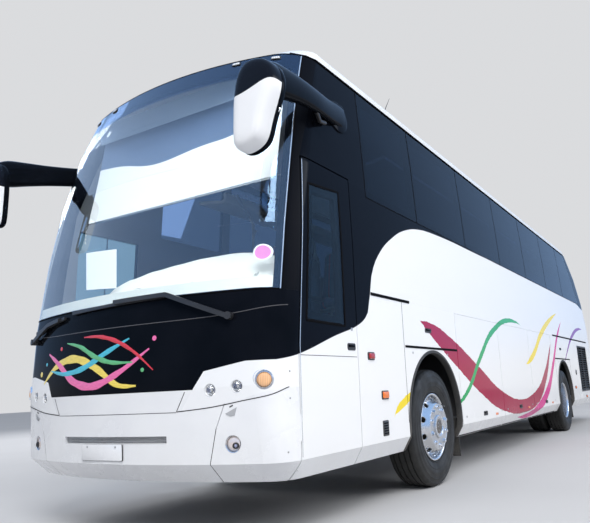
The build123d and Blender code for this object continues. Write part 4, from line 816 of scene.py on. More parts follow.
def set_out(name, unit, places, finish, body, size=1.0):
    """A unit shape repeated at (point, outward, along) places and scaled by size, as one piece."""
    unit_object = link(bpy.data.objects.new(name + "_unit", unit.mesh(name + "_unit")))
    carrier = bpy.data.meshes.new(name + "_points")
    carrier.from_pydata([tuple(p) for p, _, _ in places], [], [])
    for label, column in (("outward", 1), ("along", 2)):
        values = carrier.attributes.new(label, "FLOAT_VECTOR", "POINT").data
        values.foreach_set("vector", [c for place in places for c in place[column]])
    holder = link(bpy.data.objects.new(name + "_holder", carrier))
    modifier = holder.modifiers.new("set_out", "NODES")
    modifier.node_group = setting_out
    keys = {item.name: item.identifier for item in setting_out.interface.items_tree if item.in_out == "INPUT"}
    modifier[keys["Unit"]], modifier[keys["Size"]], modifier[keys["Finish"]] = unit_object, size, finish
    mesh = worked_out(holder)
    bpy.data.objects.remove(unit_object)
    for label in [a.name for a in mesh.attributes if a.name in ("outward", "along")]:
        mesh.attributes.remove(mesh.attributes[label])
    return set_down(name, mesh, body)


def cut_away(mesh, cutter):
    """A mesh with another taken out of it, as a new mesh."""
    solid, tool = (link(bpy.data.objects.new(name, data)) for name, data in (("being_cut", mesh), ("cutter", cutter)))
    modifier = solid.modifiers.new("cut", "BOOLEAN")
    modifier.object, modifier.operation, modifier.solver = tool, "DIFFERENCE", "EXACT"
    result = worked_out(solid)
    bpy.data.objects.remove(tool)
    return result


def hexagon(radius, height, finish, washer=0.0):
    """A wheel nut or bolt head on its washer, standing up Z."""
    unit = Shape()
    forms = [(radius, 6, [(1.0, 0.0), (1.0, height * 0.75), (0.82, height)])]
    if washer:
        forms.append((washer, 12, [(1.0, -0.002), (1.0, height * 0.16), (0.86, height * 0.22)]))
    for size, corners, rows in forms:
        ring = [(size * math.cos(t), size * math.sin(t)) for t in turns(corners)]
        unit.rings([[(a * x, a * y, z) for x, y in ring] for a, z in rows], finish)
    return unit


# ---------------------------------------------------------------- wheels
def tyre_profile():
    """Half section of a tyre: (axial, radius, kind) from bead over the tread to bead."""
    wall = [(0.1105, 0.288), (0.1105, 0.3005), (0.1175, 0.3065), (0.1290, 0.3140), (0.1290, 0.3185), (0.1262, 0.3210),
            (0.1335, 0.3400), (0.1395, 0.3600), (0.1412, 0.3650), (0.1440, 0.3668), (0.1452, 0.3760), (0.1430, 0.3790),
            (0.1462, 0.3900), (0.1475, 0.4050), (0.1470, 0.4200), (0.1448, 0.4240), (0.1445, 0.4400),
            (0.1430, 0.4520), (0.1450, 0.4545), (0.1438, 0.4600), (0.1408, 0.4625), (0.1365, 0.4780),
            (0.1325, 0.4900), (0.1340, 0.4925), (0.1300, 0.5005)]
    wall = [(a, r, "wall") for a, r in wall]
    wall += [(0.1255, 0.5070, "lug"), (0.1180, 0.5135, "lug"), (0.1075, 0.5182, "lug"), (0.0955, 0.5195, "rib")]
    half = list(wall)
    for groove in (0.079, 0.028):
        for offset, depth in ((0.0062, 0.0), (0.0042, 0.014), (-0.0042, 0.014), (-0.0062, 0.0)):
            a = groove + offset
            half.append((a, 0.522 - 0.0025 * (a / 0.0955) ** 2 - depth, "groove"))
    return [(-a, r, kind) for a, r, kind in half] + [(a, r, kind) for a, r, kind in reversed(half)]


TYRE_STEPS = 132


def add_tyre(shape, x, y):
    """A road tyre with ribbed tread, zigzag grooves and notched shoulders."""
    profile = tyre_profile()
    rings = []
    for k, t in enumerate(turns(TYRE_STEPS)):
        zigzag = (-1, 0, 1, 0)[k % 4] * 0.0018
        ring = []
        for a, r, kind in profile:
            if kind == "groove":
                a += zigzag
            if kind == "lug" and k % 4 == 0:
                r -= 0.006
                a -= math.copysign(0.002, a)
            ring.append((x + a, y + r * math.cos(t), AXLE_Z + r * math.sin(t)))
        rings.append(ring)
    shape.rings(rings, tyre, closed=True)


BARREL = [(-0.1235, 0.2700), (-0.1250, 0.2930), (-0.1235, 0.2990), (-0.1190, 0.3000), (-0.1145, 0.2970),
          (-0.1110, 0.2875), (0.1110, 0.2875), (0.1145, 0.2970), (0.1190, 0.3000), (0.1235, 0.2990), (0.1250, 0.2930),
          (0.1225, 0.2860), (0.1140, 0.2790), (0.0900, 0.2755), (-0.0900, 0.2740)]
FRONT_DISH = [(0.036, 0.274), (0.064, 0.275), (0.074, 0.2675), (0.156, 0.2165), (0.1655, 0.2120), (0.1720, 0.2050),
              (0.1725, 0.1950), (0.1700, 0.1930), (0.1700, 0.1050), (0.158, 0.100), (0.158, 0.192), (0.150, 0.198),
              (0.058, 0.254), (0.036, 0.262)]
TWIN_DISH = [(-0.079, 0.274), (-0.101, 0.273), (-0.113, 0.2625), (-0.143, 0.2050), (-0.1500, 0.1960),
             (-0.1520, 0.1900), (-0.1520, 0.1000), (-0.165, 0.100), (-0.165, 0.192), (-0.163, 0.200),
             (-0.128, 0.2640), (-0.115, 0.276)]
HAND_HOLES, HAND_HOLE_R, FRONT_HOLE_PITCH, TWIN_HOLE_PITCH = 10, 0.027, 0.2405, 0.2330
HOLE_TURN = math.radians(18)
WHEEL_NUTS, NUT_PITCH_R = 10, 0.1675


def ring_places(x, y, radius, count, side, turn=0.0):
    """Places round an axle's line that face outwards."""
    spokes = [Vector((0, math.cos(t + turn), math.sin(t + turn))) for t in turns(count)]
    return [(Vector((x, y, AXLE_Z)) + radius * spoke, (side, 0, 0), tuple(spoke)) for spoke in spokes]


def pierced_dish(profile, x, y, side, slope, pitch):
    """A wheel's dish with its hand holes cut square to its slope."""
    dish, holes = Shape(), Shape()
    dish.spin(profile, (x, y, AXLE_Z), alloy, side, 80)
    for point, _, spoke in ring_places(x + side * slope[0], y, pitch, HAND_HOLES, side, HOLE_TURN):
        run = (Vector(spoke) * slope[1] + Vector((side, 0, 0)) * slope[2]).normalized()
        holes.tube([point - run * 0.06, point + run * 0.06], HAND_HOLE_R, alloy, 20)
    return cut_away(dish.mesh("dish"), holes.mesh("hand_holes"))


def add_mesh(shape, mesh, finish):
    """Takes a plain mesh into a shape."""
    shape.add([v.co.copy() for v in mesh.vertices], [tuple(p.vertices) for p in mesh.polygons], finish)


def front_wheel(side, label):
    """A steered wheel: tyre, alloy rim with its dish set out, hub cap, valve and nuts."""
    x, y, body = side * WHEEL_X, along(0), f"front_{label}_wheel"
    hub = (x, y, AXLE_Z)
    rubber, rim = Shape(), Shape()
    add_tyre(rubber, x, y)
    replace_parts(rubber.piece(f"road_tyre_front_{label}", "tyre", body), f"front_{label}_tyre")
    rim.spin(BARREL, hub, alloy, side, 96)
    add_mesh(rim, pierced_dish(FRONT_DISH, x, y, side, (0.118, 0.72, 0.69), FRONT_HOLE_PITCH), alloy)
    for point, _, spoke in ring_places(x + side * 0.1165, y, FRONT_HOLE_PITCH, HAND_HOLES, side, HOLE_TURN):
        run = (Vector(spoke) * 0.53 + Vector((side * 0.85, 0, 0))).normalized()
        lean = run.cross(Vector(spoke)).normalized()
        other = run.cross(lean)
        rim.tube([point + 0.0285 * (math.cos(t) * lean + math.sin(t) * other) for t in turns(20)], 0.0028, alloy, 6,
                 closed=True)
    rim.spin([(-0.110, 0.044), (-0.110, 0.118), (0.165, 0.118), (0.165, 0.044)], hub, cast_metal, side, 40)
    rim.spin([(0.150, 0.0), (0.150, 0.1035), (0.1800, 0.1035), (0.1830, 0.1010), (0.1840, 0.0960), (0.1840, 0.0800),
              (0.1815, 0.0760), (0.1740, 0.0720), (0.1740, 0.0)], hub, alloy, side, 48)
    rim.spin([(0.170, 0.0), (0.170, 0.066), (0.1765, 0.064), (0.1800, 0.054), (0.1800, 0.030), (0.1840, 0.026),
              (0.1850, 0.0)], hub, cast_metal, side, 36)
    valve = Vector((x + side * 0.150, y + 0.150, AXLE_Z + 0.190))
    rim.tube([valve, valve + Vector((side * 0.035, -0.012, -0.016))], 0.0042, chrome, 8)
    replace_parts(rim.piece(f"road_rim_front_{label}", "rim_alloy", body), f"front_{label}_rim")
    set_out(f"wheel_nuts_front_{label}", hexagon(0.0165, 0.020, chrome, washer=0.0225),
            ring_places(x + side * 0.1705, y, NUT_PITCH_R, WHEEL_NUTS, side, HOLE_TURN), chrome, body)
    set_out(f"hub_bolts_front_{label}", hexagon(0.0058, 0.006, steel),
            ring_places(x + side * 0.1795, y, 0.044, 8, side), steel, body)


def rear_wheels(side, label):
    """A driven pair of wheels: two tyres, deep outer dish, hub and nuts."""
    body, y = f"rear_{label}_wheel", along(WHEELBASE)
    x, inner_x = side * WHEEL_X, side * TWIN_INNER_X
    mid_x = (x + inner_x) / 2
    rubber, rim = Shape(), Shape()
    for centre_x in (x, inner_x):
        add_tyre(rubber, centre_x, y)
        rim.spin(BARREL, (centre_x, y, AXLE_Z), alloy, side, 96)
    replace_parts(rubber.piece(f"road_tyres_rear_{label}", "tyre", body), f"rear_{label}_tyres")
    add_mesh(rim, pierced_dish(TWIN_DISH, x, y, side, (-0.128, 0.5, -0.86), TWIN_HOLE_PITCH), alloy)
    rim.spin([(-a, r) for a, r in TWIN_DISH], (inner_x, y, AXLE_Z), alloy, side, 64)
    for profile in ([(-0.300, 0.0555), (-0.300, 0.118), (0.150, 0.118), (0.190, 0.112), (0.190, 0.0555)],
                    [(0.186, 0.0), (0.186, 0.112), (0.196, 0.111), (0.200, 0.104), (0.200, 0.0)]):
        rim.spin(profile, (mid_x, y, AXLE_Z), cast_metal, side, 40)
    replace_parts(rim.piece(f"road_rims_rear_{label}", "rim_alloy", body), f"rear_{label}_rims")
    set_out(f"wheel_nuts_rear_{label}", hexagon(0.0165, 0.024, chrome, washer=0.0225),
            ring_places(mid_x + side * 0.0135, y, NUT_PITCH_R, WHEEL_NUTS, side, HOLE_TURN), chrome, body)
    set_out(f"hub_bolts_rear_{label}", hexagon(0.008, 0.008, steel),
            ring_places(mid_x + side * 0.1995, y, 0.085, 10, side), steel, body)


for side, label in ((1, "left"), (-1, "right")):
    front_wheel(side, label)
    rear_wheels(side, label)


# ---------------------------------------------------------------- mirrors
MIRROR_X, MIRROR_STATION, MIRROR_MID_Z = 1.405, -2.795, 2.600
# Outline of a left mirror's housing seen from the front, as (across, up), anticlockwise
HOUSING_LINE = [
    (1.562, 2.680), (1.556, 2.790), (1.500, 2.862), (1.412, 2.884), (1.336, 2.858), (1.284, 2.770), (1.263, 2.640),
    (1.258, 2.500), (1.258, 2.400), (1.270, 2.338), (1.318, 2.314), (1.400, 2.330), (1.458, 2.378), (1.500, 2.500),
]
# Places from the front of the housing to its rim, as (further back, part of the width, part of the height)
HOUSING_ROWS = [(-0.0845, 0.42, 0.60), (-0.0835, 0.56, 0.72), (-0.0795, 0.72, 0.84), (-0.071, 0.84, 0.915),
                (-0.056, 0.925, 0.962), (-0.034, 0.975, 0.988), (-0.006, 0.996, 0.998), (0.024, 1.0, 1.0),
                (0.044, 0.992, 0.997)]
HOUSING_RIM = [(0.038, 1.002, 1.001), (0.046, 1.012, 1.004), (0.070, 1.008, 1.002), (0.0835, 0.975, 0.985),
               (0.0835, 0.915, 0.955), (0.074, 0.885, 0.945), (0.060, 0.880, 0.940)]
ARM_LINE = [
    # across, station, height, half height, flatness
    (1.222, -1.470, 3.066, 0.112, 0.34),
    (1.246, -1.600, 3.046, 0.098, 0.44),
    (1.290, -1.800, 3.000, 0.088, 0.50),
    (1.345, -2.050, 2.950, 0.087, 0.54),
    (1.388, -2.300, 2.903, 0.093, 0.56),
    (1.408, -2.500, 2.862, 0.106, 0.60),
    (1.414, -2.640, 2.828, 0.114, 0.70),
    (1.416, -2.735, 2.800, 0.096, 0.90),
]


def head_outline(half_x, half_z, round_x, count=10):
    """A tall outline with round corners, about its middle, as (across, up)."""
    points = []
    for sx, sz, start in ((1, 1, 0), (-1, 1, 1), (-1, -1, 2), (1, -1, 3)):
        for k in range(count):
            t = math.pi / 2 * (start + k / (count - 1))
            points.append((sx * (half_x - round_x) + round_x * math.cos(t),
                           sz * (half_z - round_x) + round_x * math.sin(t)))
    return points


def smooth_spots(spots, steps=8, closed=False):
    """Points on a smooth curve through the given rows of numbers."""
    spots = list(spots)
    ends = [spots[-1]] + spots + spots[:2] if closed else [spots[0]] + spots + [spots[-1]]
    found = []
    for a, b, c, d in zip(ends, ends[1:], ends[2:], ends[3:]):
        for k in range(steps):
            t = k / steps
            found.append(tuple(0.5 * (2 * q + (r - p) * t + (2 * p - 5 * q + 4 * r - s) * t * t
                                      + (3 * q - p - 3 * r + s) * t**3) for p, q, r, s in zip(a, b, c, d)))
    return found if closed else found + [tuple(spots[-1])]


def make_mirror_paint():
    """White housing under a black cap that meets it along a rising line."""
    made, tree, shader = material("mirror_paint", (0.8, 0.8, 0.8), 0.22, Coat_Weight=0.12, Coat_Roughness=0.05,
                                  Specular_IOR_Level=0.12, IOR=1.3)
    x, _, z = own_xyz(tree)
    beyond = calc(tree, "MAXIMUM", calc(tree, "SUBTRACT", calc(tree, "ABSOLUTE", x), 1.33), 0.0)
    line = calc(tree, "ADD", times(tree, calc(tree, "POWER", beyond, 1.3), 0.42), 2.652)
    above = calc(tree, "SUBTRACT", z, line)
    cap = ramp(tree, above, -0.0015, 0.0015)
    split = ramp(tree, calc(tree, "ABSOLUTE", above), 0.001, 0.003, 1.0, 0.0)
    parts = use(tree, grain_group, Scale=900.0, Blotch=3.0)
    white = blend_colour(tree, parts["Shade"], opaque(WHITE), (0.75, 0.76, 0.79, 1))
    colour = blend_colour(tree, cap, white, (0.005, 0.006, 0.010, 1))
    coloured(tree, shader, blend_colour(tree, split, colour, (0.01, 0.01, 0.01, 1)))
    bump(tree, shader, parts["Height"], 0.02, 0.0002)
    return made


mirror_paint = make_mirror_paint()


def mirror_set(side, label):
    """A mirror: deep arm that runs into the cap, tapered housing, rear frame and two glasses."""
    outline = smooth_spots(HOUSING_LINE, 6, closed=True)
    back_y = along(MIRROR_STATION)

    def housing_ring(y, wide, tall):
        return [Vector((side * (MIRROR_X + (x - MIRROR_X) * wide), back_y + y,
                        MIRROR_MID_Z + (z - MIRROR_MID_Z) * tall)) for x, z in outline]

    shell = Shape()
    shell.rings([housing_ring(*row) for row in HOUSING_ROWS], mirror_paint)
    shell.rings([housing_ring(*row) for row in HOUSING_RIM], black_gloss)
    for low, high, wide, shift in ((-0.235, -0.085, 0.60, -0.035), (-0.065, 0.215, 0.76, 0.010)):
        mid, half = (low + high) / 2, (high - low) / 2
        shell.rings([[Vector((side * (MIRROR_X + shift + a), back_y + y, MIRROR_MID_Z + mid + b))
                      for a, b in head_outline(0.148 * wide * scale, half * scale, 0.035, 8)]
                     for y, scale in ((0.0600, 1.0), (0.0700, 1.0), (0.0715, 0.985))], mirror_glass)
    line = smooth_spots(ARM_LINE, 4)
    rings = []
    for k, (x, s, z, half, flat) in enumerate(line):
        before, after = line[max(k - 1, 0)], line[min(k + 1, len(line) - 1)]
        run = Vector((side * (after[0] - before[0]), after[1] - before[1], after[2] - before[2])).normalized()
        level = run.cross(Vector((0, 0, 1))).normalized()
        upward = level.cross(run)
        spot = Vector(at(side * x, s, z))
        rings.append([spot + half * (flat * math.copysign(abs(math.cos(t)) ** 0.8, math.cos(t)) * level
                                     + math.sin(t) * upward) for t in turns(28)])
    shell.rings(rings, black_gloss)
    shell.rings([[side_point(side, -1.545 + wide * math.cos(t), 3.045 + tall * math.sin(t), out) for t in turns(28)]
                 for out, wide, tall in ((0.0005, 0.145, 0.135), (0.010, 0.142, 0.132), (0.016, 0.120, 0.112))],
                black_gloss)
    knuckle = [at(side * x, s, z) for x, s, z in ((1.335, -2.02, 2.88), (1.30, -1.92, 2.85), (1.258, -1.78, 2.90))]
    shell.tube(knuckle, 0.017, black_plastic, 10)
    return shell.piece(f"mirror_{label}", "white_paint")


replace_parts(mirror_set(1, "left"), "mirrors")
mirror_set(-1, "right")


# ---------------------------------------------------------------- seams, lips and mouldings
ARCH_RADIUS, ARCH_CENTRE_Z, SKIRT_LOW_Z = 0.630, 0.580, 0.372


def arch_line(side, centre, radius, out):
    """Points and outward directions round a wheel arch on the side skin."""
    heights = [SKIRT_LOW_Z + (ARCH_CENTRE_Z - SKIRT_LOW_Z) * k / 4 for k in range(4)]
    spots = [(centre - radius, z) for z in heights]
    for k in range(41):
        t = math.pi - math.pi * k / 40
        spots.append((centre + radius * math.cos(t), ARCH_CENTRE_Z + radius * math.sin(t)))
    spots += [(centre + radius, z) for z in reversed(heights)]
    return [(side_point(side, s, z, out), Vector((side, 0, 0))) for s, z in spots]


def arch_lips(side, label):
    """Black lips round both arches, folded in over the panel's edge."""
    lips = Shape()
    fold = [(-0.60, -7.0), (-0.60, -0.3), (-0.30, 1.0), (0.62, 1.0), (0.80, 0.35), (0.80, -0.1), (0.40, -0.1),
            (0.40, -7.0)]
    for centre in (0.0, WHEELBASE):
        path = arch_line(side, centre, ARCH_RADIUS - 0.008, 0.0005)
        if side < 0:
            path.reverse()
        lips.strip(path, 0.022, 0.007, black_rubber, section=[(-a, b) for a, b in reversed(fold)])
    lips.piece(f"arch_lips_{label}", "black_rubber")


def surface_run(side, spots, out=0.0004):
    """A path on the side skin through (station, height) spots, finely divided."""
    path = []
    for (s0, z0), (s1, z1) in zip(spots, spots[1:]):
        steps = max(int(math.hypot(s1 - s0, z1 - z0) / 0.08), 1)
        path += [(s0 + (s1 - s0) * k / steps, z0 + (z1 - z0) * k / steps) for k in range(steps)]
    line = []
    for s, z in [*path, spots[-1]]:
        here = side_point(side, s, z, out)
        line.append((here, (side_point(side, s, z, out + 0.02) - here).normalized()))
    return line


def end_run(point_at, way, step, spots, out):
    """A path on the front or rear skin through (across, height) spots, finely divided."""
    line = []
    for (x0, z0), (x1, z1) in zip(spots, spots[1:]):
        steps = max(int(math.hypot(x1 - x0, z1 - z0) / step), 1)
        for k in range(steps + ((x1, z1) == spots[-1])):
            x, z = x0 + (x1 - x0) * k / steps, z0 + (z1 - z0) * k / steps
            wide = point_at(x + 0.01, z, out) - point_at(x - 0.01, z, out)
            tall = point_at(x, z + 0.01, out) - point_at(x, z - 0.01, out)
            line.append((point_at(x, z, out), (wide.cross(tall) * way).normalized()))
    return line


def nose_run(spots, out=0.0004):
    """A path on the front skin."""
    return end_run(nose_point, 1, 0.05, spots, out)


def tail_run(spots, out=0.0004):
    """A path on the rear skin."""
    return end_run(tail_point, -1, 0.06, spots, out)


PANE_SEAMS = [-1.18] + [-0.13 + 1.4 * n for n in range(6)]
BELT_Z, GLASS_LOW, GLASS_HIGH = 1.632, 2.455, 3.426


def side_trim(side, label):
    """Belt moulding, moulding over the arches, pane seams and gutter on one side."""
    trim = Shape()
    rear_start = 5.42 if side > 0 else 4.57
    for spots in ([(-1.215, BELT_Z), (-0.49, BELT_Z)], [(rear_start, BELT_Z), (8.74, BELT_Z)]):
        trim.strip(surface_run(side, spots), 0.024, 0.007, rubber_seal)
    for centre in (0.0, WHEELBASE):
        trim.strip(surface_run(side, [(centre - 0.62, 1.236), (centre + 0.64, 1.236)]), 0.020, 0.006, rubber_seal)
    for s in PANE_SEAMS:
        trim.seam(surface_run(side, [(s, GLASS_LOW), (s, GLASS_HIGH)], 0.0002), 0.012, 0.0012)
    trim.seam(surface_run(side, [(-1.18, GLASS_LOW - 0.004), (8.51, GLASS_LOW - 0.004)], 0.0002), 0.010, 0.0012)
    trim.strip(surface_run(side, [(-2.00, 3.4405), (-1.6, 3.4405), (7.75, 3.4405)], 0.0), 0.012, 0.010, rubber_seal)
    trim.piece(f"side_trim_{label}", "black_rubber")


for side, label in ((1, "left"), (-1, "right")):
    arch_lips(side, label)
    side_trim(side, label)


# ---------------------------------------------------------------- front lamps
# Across, height, hole radius, heading out from straight ahead in degrees, kind
FRONT_LAMPS = [
    (0.825, 0.933, 0.040, 13, "beam"),
    (1.001, 0.949, 0.040, 15, "beam"),
    (1.166, 0.981, 0.058, 30, "amber"),
    (0.957, 0.609, 0.052, 15, "fog"),
]
pale_bowl = weathered("pale_bowl", (0.80, 0.72, 0.68), 0.22, (0.72, 0.62, 0.58), dust=0.12, Metallic=0.35,
                      Coat_Weight=0.6, Coat_Roughness=0.05)
amber_glass = lens("amber_glass", (0.92, 0.52, 0.26), 420.0)
bulb_blue = weathered("bulb_glass", (0.42, 0.44, 0.62), 0.08, (0.34, 0.36, 0.52), dust=0.0, Coat_Weight=0.8)


def lamp_axis(x, z, heading, side):
    """A lamp's centre on the front skin and the way it faces."""
    a = math.radians(heading)
    return Vector((side * x, nose_point(x, z).y, z)), Vector((side * math.sin(a), -math.cos(a), 0.0))


def add_lamp(fittings, lenses, spec, side):
    """A lamp in its hole: bright collar, reflector bowl, bulb and domed lens."""
    x, z, r, heading, kind = spec
    centre, out = lamp_axis(x, z, heading, side)
    turn_off = out.cross(Vector((0, 0, 1)))
    collar = [(r - 0.0003, -0.055), (r - 0.0003, -0.004), (r - 0.0018, -0.0015), (r - 0.0042, -0.003),
              (r - 0.0052, -0.008), (r - 0.0058, -0.055)]
    fittings.lathe(collar, centre, out, gloss_white if kind == "beam" else chrome)
    if kind == "fog":
        bowl = [(r - 0.006, -0.018), (r - 0.010, -0.013), (r * 0.62, -0.0065), (r * 0.3, -0.0035), (0, -0.0025),
                (0, -0.030), (r - 0.006, -0.030)]
        fittings.lathe(bowl, centre, out, pale_bowl)
        spot = centre + turn_off * (-0.017 * side) + Vector((0, 0, -0.010))
        ring = [(0.0125, -0.012), (0.0125, 0.0045), (0.0150, 0.0075), (0.0185, 0.0060), (0.0200, -0.012)]
        fittings.lathe(ring, spot, out, black_plastic, 28)
        lenses.lathe([(0.0125, -0.004), (0.0085, -0.0005), (0.004, 0.0008), (0, 0.001), (0, -0.008), (0.0125, -0.008)],
                     spot, out, bulb_blue, 28)
        return
    depth = 0.050 if kind == "beam" else 0.034
    bowl = [(r - 0.006, -0.020), (r * 0.80, -0.62 * depth), (r * 0.52, -0.90 * depth), (r * 0.2, -depth), (0, -depth),
            (0, -depth - 0.003), (r * 0.22, -depth - 0.003), (r * 0.55, -0.96 * depth), (r * 0.84, -0.7 * depth),
            (r - 0.0055, -0.024)]
    fittings.lathe(bowl, centre, out, chrome)
    if kind == "amber":
        ring = [(0.0455, -0.020), (0.0455, 0.0040), (0.0475, 0.0075), (0.0500, 0.0068), (0.0515, 0.0030),
                (0.0522, -0.020)]
        fittings.lathe(ring, centre, out, chrome, 48)
        bezel = [(0.0520, -0.024), (0.0520, -0.0030), (0.0545, -0.0005), (0.0575, -0.0030), (0.0575, -0.024)]
        fittings.lathe(bezel, centre, out, alloy, 48)
        behind = centre + turn_off * (0.016 * side) + Vector((0, 0, 0.009)) - out * 0.004
        recess = [(0.0, -0.010), (0.044, -0.010), (0.0490, -0.0005), (0.0515, 0.0035), (0.0535, 0.0020),
                  (0.0540, -0.020), (0.0, -0.020)]
        fittings.lathe(recess, behind, out, chrome, 48)
        dome = [(0.0455, -0.012), (0.0445, 0.0000), (0.040, 0.0055), (0.028, 0.0110), (0.014, 0.0135), (0, 0.0142),
                (0, 0.0110), (0.014, 0.0104), (0.027, 0.0080), (0.038, 0.0030), (0.0425, -0.012)]
        lenses.lathe(dome, centre, out, amber_glass, 48)
        return
    bulb = [(0.0, -depth), (0.0070, -depth), (0.0075, -0.030), (0.0060, -0.024), (0.003, -0.0215), (0.0, -0.021)]
    fittings.lathe(bulb, centre, out, bulb_blue, 20)
    hood = [(0.0, -0.0185), (0.0095, -0.0200), (0.0105, -0.0260), (0.0098, -0.0262), (0.0088, -0.0212), (0.0, -0.0200)]
    fittings.lathe(hood, centre, out, chrome, 24)
    dome = [(r - 0.006, -0.019), (r - 0.0065, -0.012), (r * 0.74, -0.0050), (r * 0.45, -0.0010), (r * 0.2, 0.0005),
            (0, 0.0008), (0, -0.0016), (r * 0.2, -0.0019), (r * 0.44, -0.0034), (r * 0.72, -0.0072),
            (r - 0.0095, -0.0140), (r - 0.0095, -0.019)]
    lenses.lathe(dome, centre, out, lamp_glass, 40)


lamp_fittings, lamp_lenses = Shape(), Shape()
for side in (1, -1):
    for spec in FRONT_LAMPS:
        add_lamp(lamp_fittings, lamp_lenses, spec, side)
lamp_fittings.piece("lamp_fittings", "lamp_black")
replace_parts(lamp_lenses.piece("lamp_lenses", "lamp_lens"), "front_lamps")


# ---------------------------------------------------------------- front seams, trims and small fittings
bright_trim = weathered("bright_trim", (0.78, 0.79, 0.80), 0.22, (0.70, 0.71, 0.72), dust=0.06, Metallic=0.85)
SCREEN_LINE = [(z, hull_row(z)[1] - 0.0445)
               for z in (1.548, 1.70, 1.85, 2.0, 2.15, 2.3, 2.5, 2.7, 2.85, 3.0, 3.2, 3.428)]

seam_grey = weathered("seam_grey", (0.085, 0.080, 0.082), 0.4, (0.06, 0.056, 0.058), dust=0.05)


def front_trim():
    """Bright edge strips and seal of the windscreen, seams of mask, pods and corner panels, screws."""
    trim = Shape()
    pod_seam = smooth_spots([(0.586, 0.8100), (0.82, 0.8290), (1.017, 0.8590), (1.191, 0.8890), (1.262, 0.9310)], 12)
    for side in (1, -1):
        trim.strip(nose_run([(side * x, z) for z, x in SCREEN_LINE], 0.0002), 0.0085, 0.0024, bright_trim)
        for spots, out, across, up, finish in (
                ([(x + 0.0075, z) for z, x in SCREEN_LINE], 0.0, 0.0070, 0.0012, rubber_seal),
                (pod_seam, 0.0009, 0.0050, 0.0010, rubber_seal),
                ([(0.648, 0.929), (0.616, 0.870), (0.582, 0.810)], 0.0004, 0.0050, 0.0008, seam_grey),
                ([(0.8515, 0.700), (0.8015, 0.490), (0.7915, 0.372)], -0.0015, 0.0040, 0.0012, rubber_seal)):
            trim.seam(nose_run([(side * x, z) for x, z in spots], out), across, up, finish)
        for z in (1.026, 0.863, 0.547):
            spot = nose_point(1.2625 if z > 0.6 else 1.2500, z)
            trim.button((side * spot.x, spot.y, z), (side, -0.25, 0.0), 0.0055, 0.0022, steel, 12)
        # tow cover with its finger slot
        cx, cz = 0.9615, 0.7905
        cover = [(x - cx, z - cz) for x, z in ((0.921, 0.789), (0.994, 0.824), (0.979, 0.777), (0.952, 0.772))]
        slot = [(0.951, 0.8235), (0.972, 0.8335), (0.969, 0.8395), (0.948, 0.8295)]
        for rows, finish in (([([(cx + a * grow, cz + b * grow) for a, b in cover], lift)
                               for lift, grow in ((-0.001, 1.0), (0.0035, 1.0), (0.0050, 0.93))], grey_plastic),
                             ([(slot, -0.001), (slot, 0.0028)], black_plastic)):
            rings = [[nose_point(x, z, lift) for x, z in spots] for spots, lift in rows]
            trim.rings([[Vector((side * p.x, p.y, p.z)) for p in ring] for ring in rings], finish)
    trim.strip(nose_run([(-1.225, 1.546), (1.225, 1.546)], 0.0), 0.012, 0.0032, rubber_seal)
    trim.seam(nose_run([(-0.580, 0.806), (0.580, 0.806)], 0.0003), 0.0040, 0.0008, seam_grey)
    edge = [(-1.257, 1.444), (-1.02, 1.407), (-0.69, 1.388), (0.0, 1.385), (0.69, 1.388), (1.02, 1.407), (1.257, 1.444)]
    trim.seam(nose_run(smooth_spots(edge, 6), 0.0003), 0.0052, 0.0012, seam_grey)
    trim.piece("front_trim", "black_plastic")


front_trim()


def bumper_mouth():
    """Mesh and sills in the bumper's slot."""
    mouth = Shape()
    for z in (0.6265, 0.6325, 0.6385, 0.6445, 0.6505, 0.6565):
        mouth.tube([nose_point(-0.495 + 0.99 * k / 24, z, -0.018) for k in range(25)], 0.0016, grey_plastic, 6)
    for x in [-0.495 + 0.015 * k for k in range(67)]:
        mouth.tube([nose_point(x, 0.619, -0.020), nose_point(x, 0.663, -0.020)], 0.0016, grey_plastic, 5)
    for z, z_in in ((0.6185, 0.6215), (0.6635, 0.6605)):
        section = ((z, 0.0016), (z_in, -0.004), (z_in, -0.020), (z, -0.020))
        mouth.rings([[nose_point(-0.50 + k / 24, height, out) for height, out in section] for k in range(25)],
                    gloss_white)
    mouth.piece("bumper_mouth", "black_plastic")


bumper_mouth()


def number_panel():
    """A blank number panel with rounded corners on two screws."""
    panel = Shape()
    x, z = -0.065, 0.565
    middle = Vector((x, nose_point(x, z, 0.004).y, z))
    up_run = (nose_point(x, 0.60) - nose_point(x, 0.51)).normalized()
    out = Vector((1, 0, 0)).cross(up_run)
    for half, (foot, face), shift, finish in (((0.202, 0.053), (-0.003, 0.0016), 0.0016, black_plastic),
                                              ((0.200, 0.052), (0.0, 0.0035), 0.0, gloss_white)):
        outline = head_outline(*half, 0.010, 6)
        panel.rings([[middle + Vector((a * grow + shift, 0, 0)) + up_run * (b * grow - shift) + out * lift
                      for a, b in outline] for lift, grow in ((foot, 1.0), (face, 1.0), (face + 0.001, 0.992))], finish)
    for a in (-0.14, 0.14):
        panel.button(middle + Vector((a, 0, 0)) + up_run * 0.035 + out * 0.004, out, 0.007, 0.0025, steel, 12)
    panel.piece("number_panel", "white_paint")


number_panel()


# ---------------------------------------------------------------- painted ribbons on the black mask
def ribbon_paint(name, colour):
    """Hand-laid enamel: thin, glossy, with brushed streaks."""
    made, tree, shader = material(name, colour, 0.3, Coat_Weight=0.4)
    brushed = ramp(tree, streaks(tree, (3.0, 1.0, 30.0), 9.0), 0.3, 0.7)
    coloured(tree, shader, blend_colour(tree, brushed, opaque(colour), opaque(colour, 0.75)))
    return made


RIBBON_PAINTS = {name: ribbon_paint("ribbon_" + name, colour) for name, colour in (
    ("yellow", (0.93, 0.72, 0.10)), ("pink", (0.90, 0.16, 0.42)), ("cyan", (0.06, 0.52, 0.68)),
    ("green", (0.12, 0.50, 0.20)), ("red", (0.72, 0.03, 0.05)))}
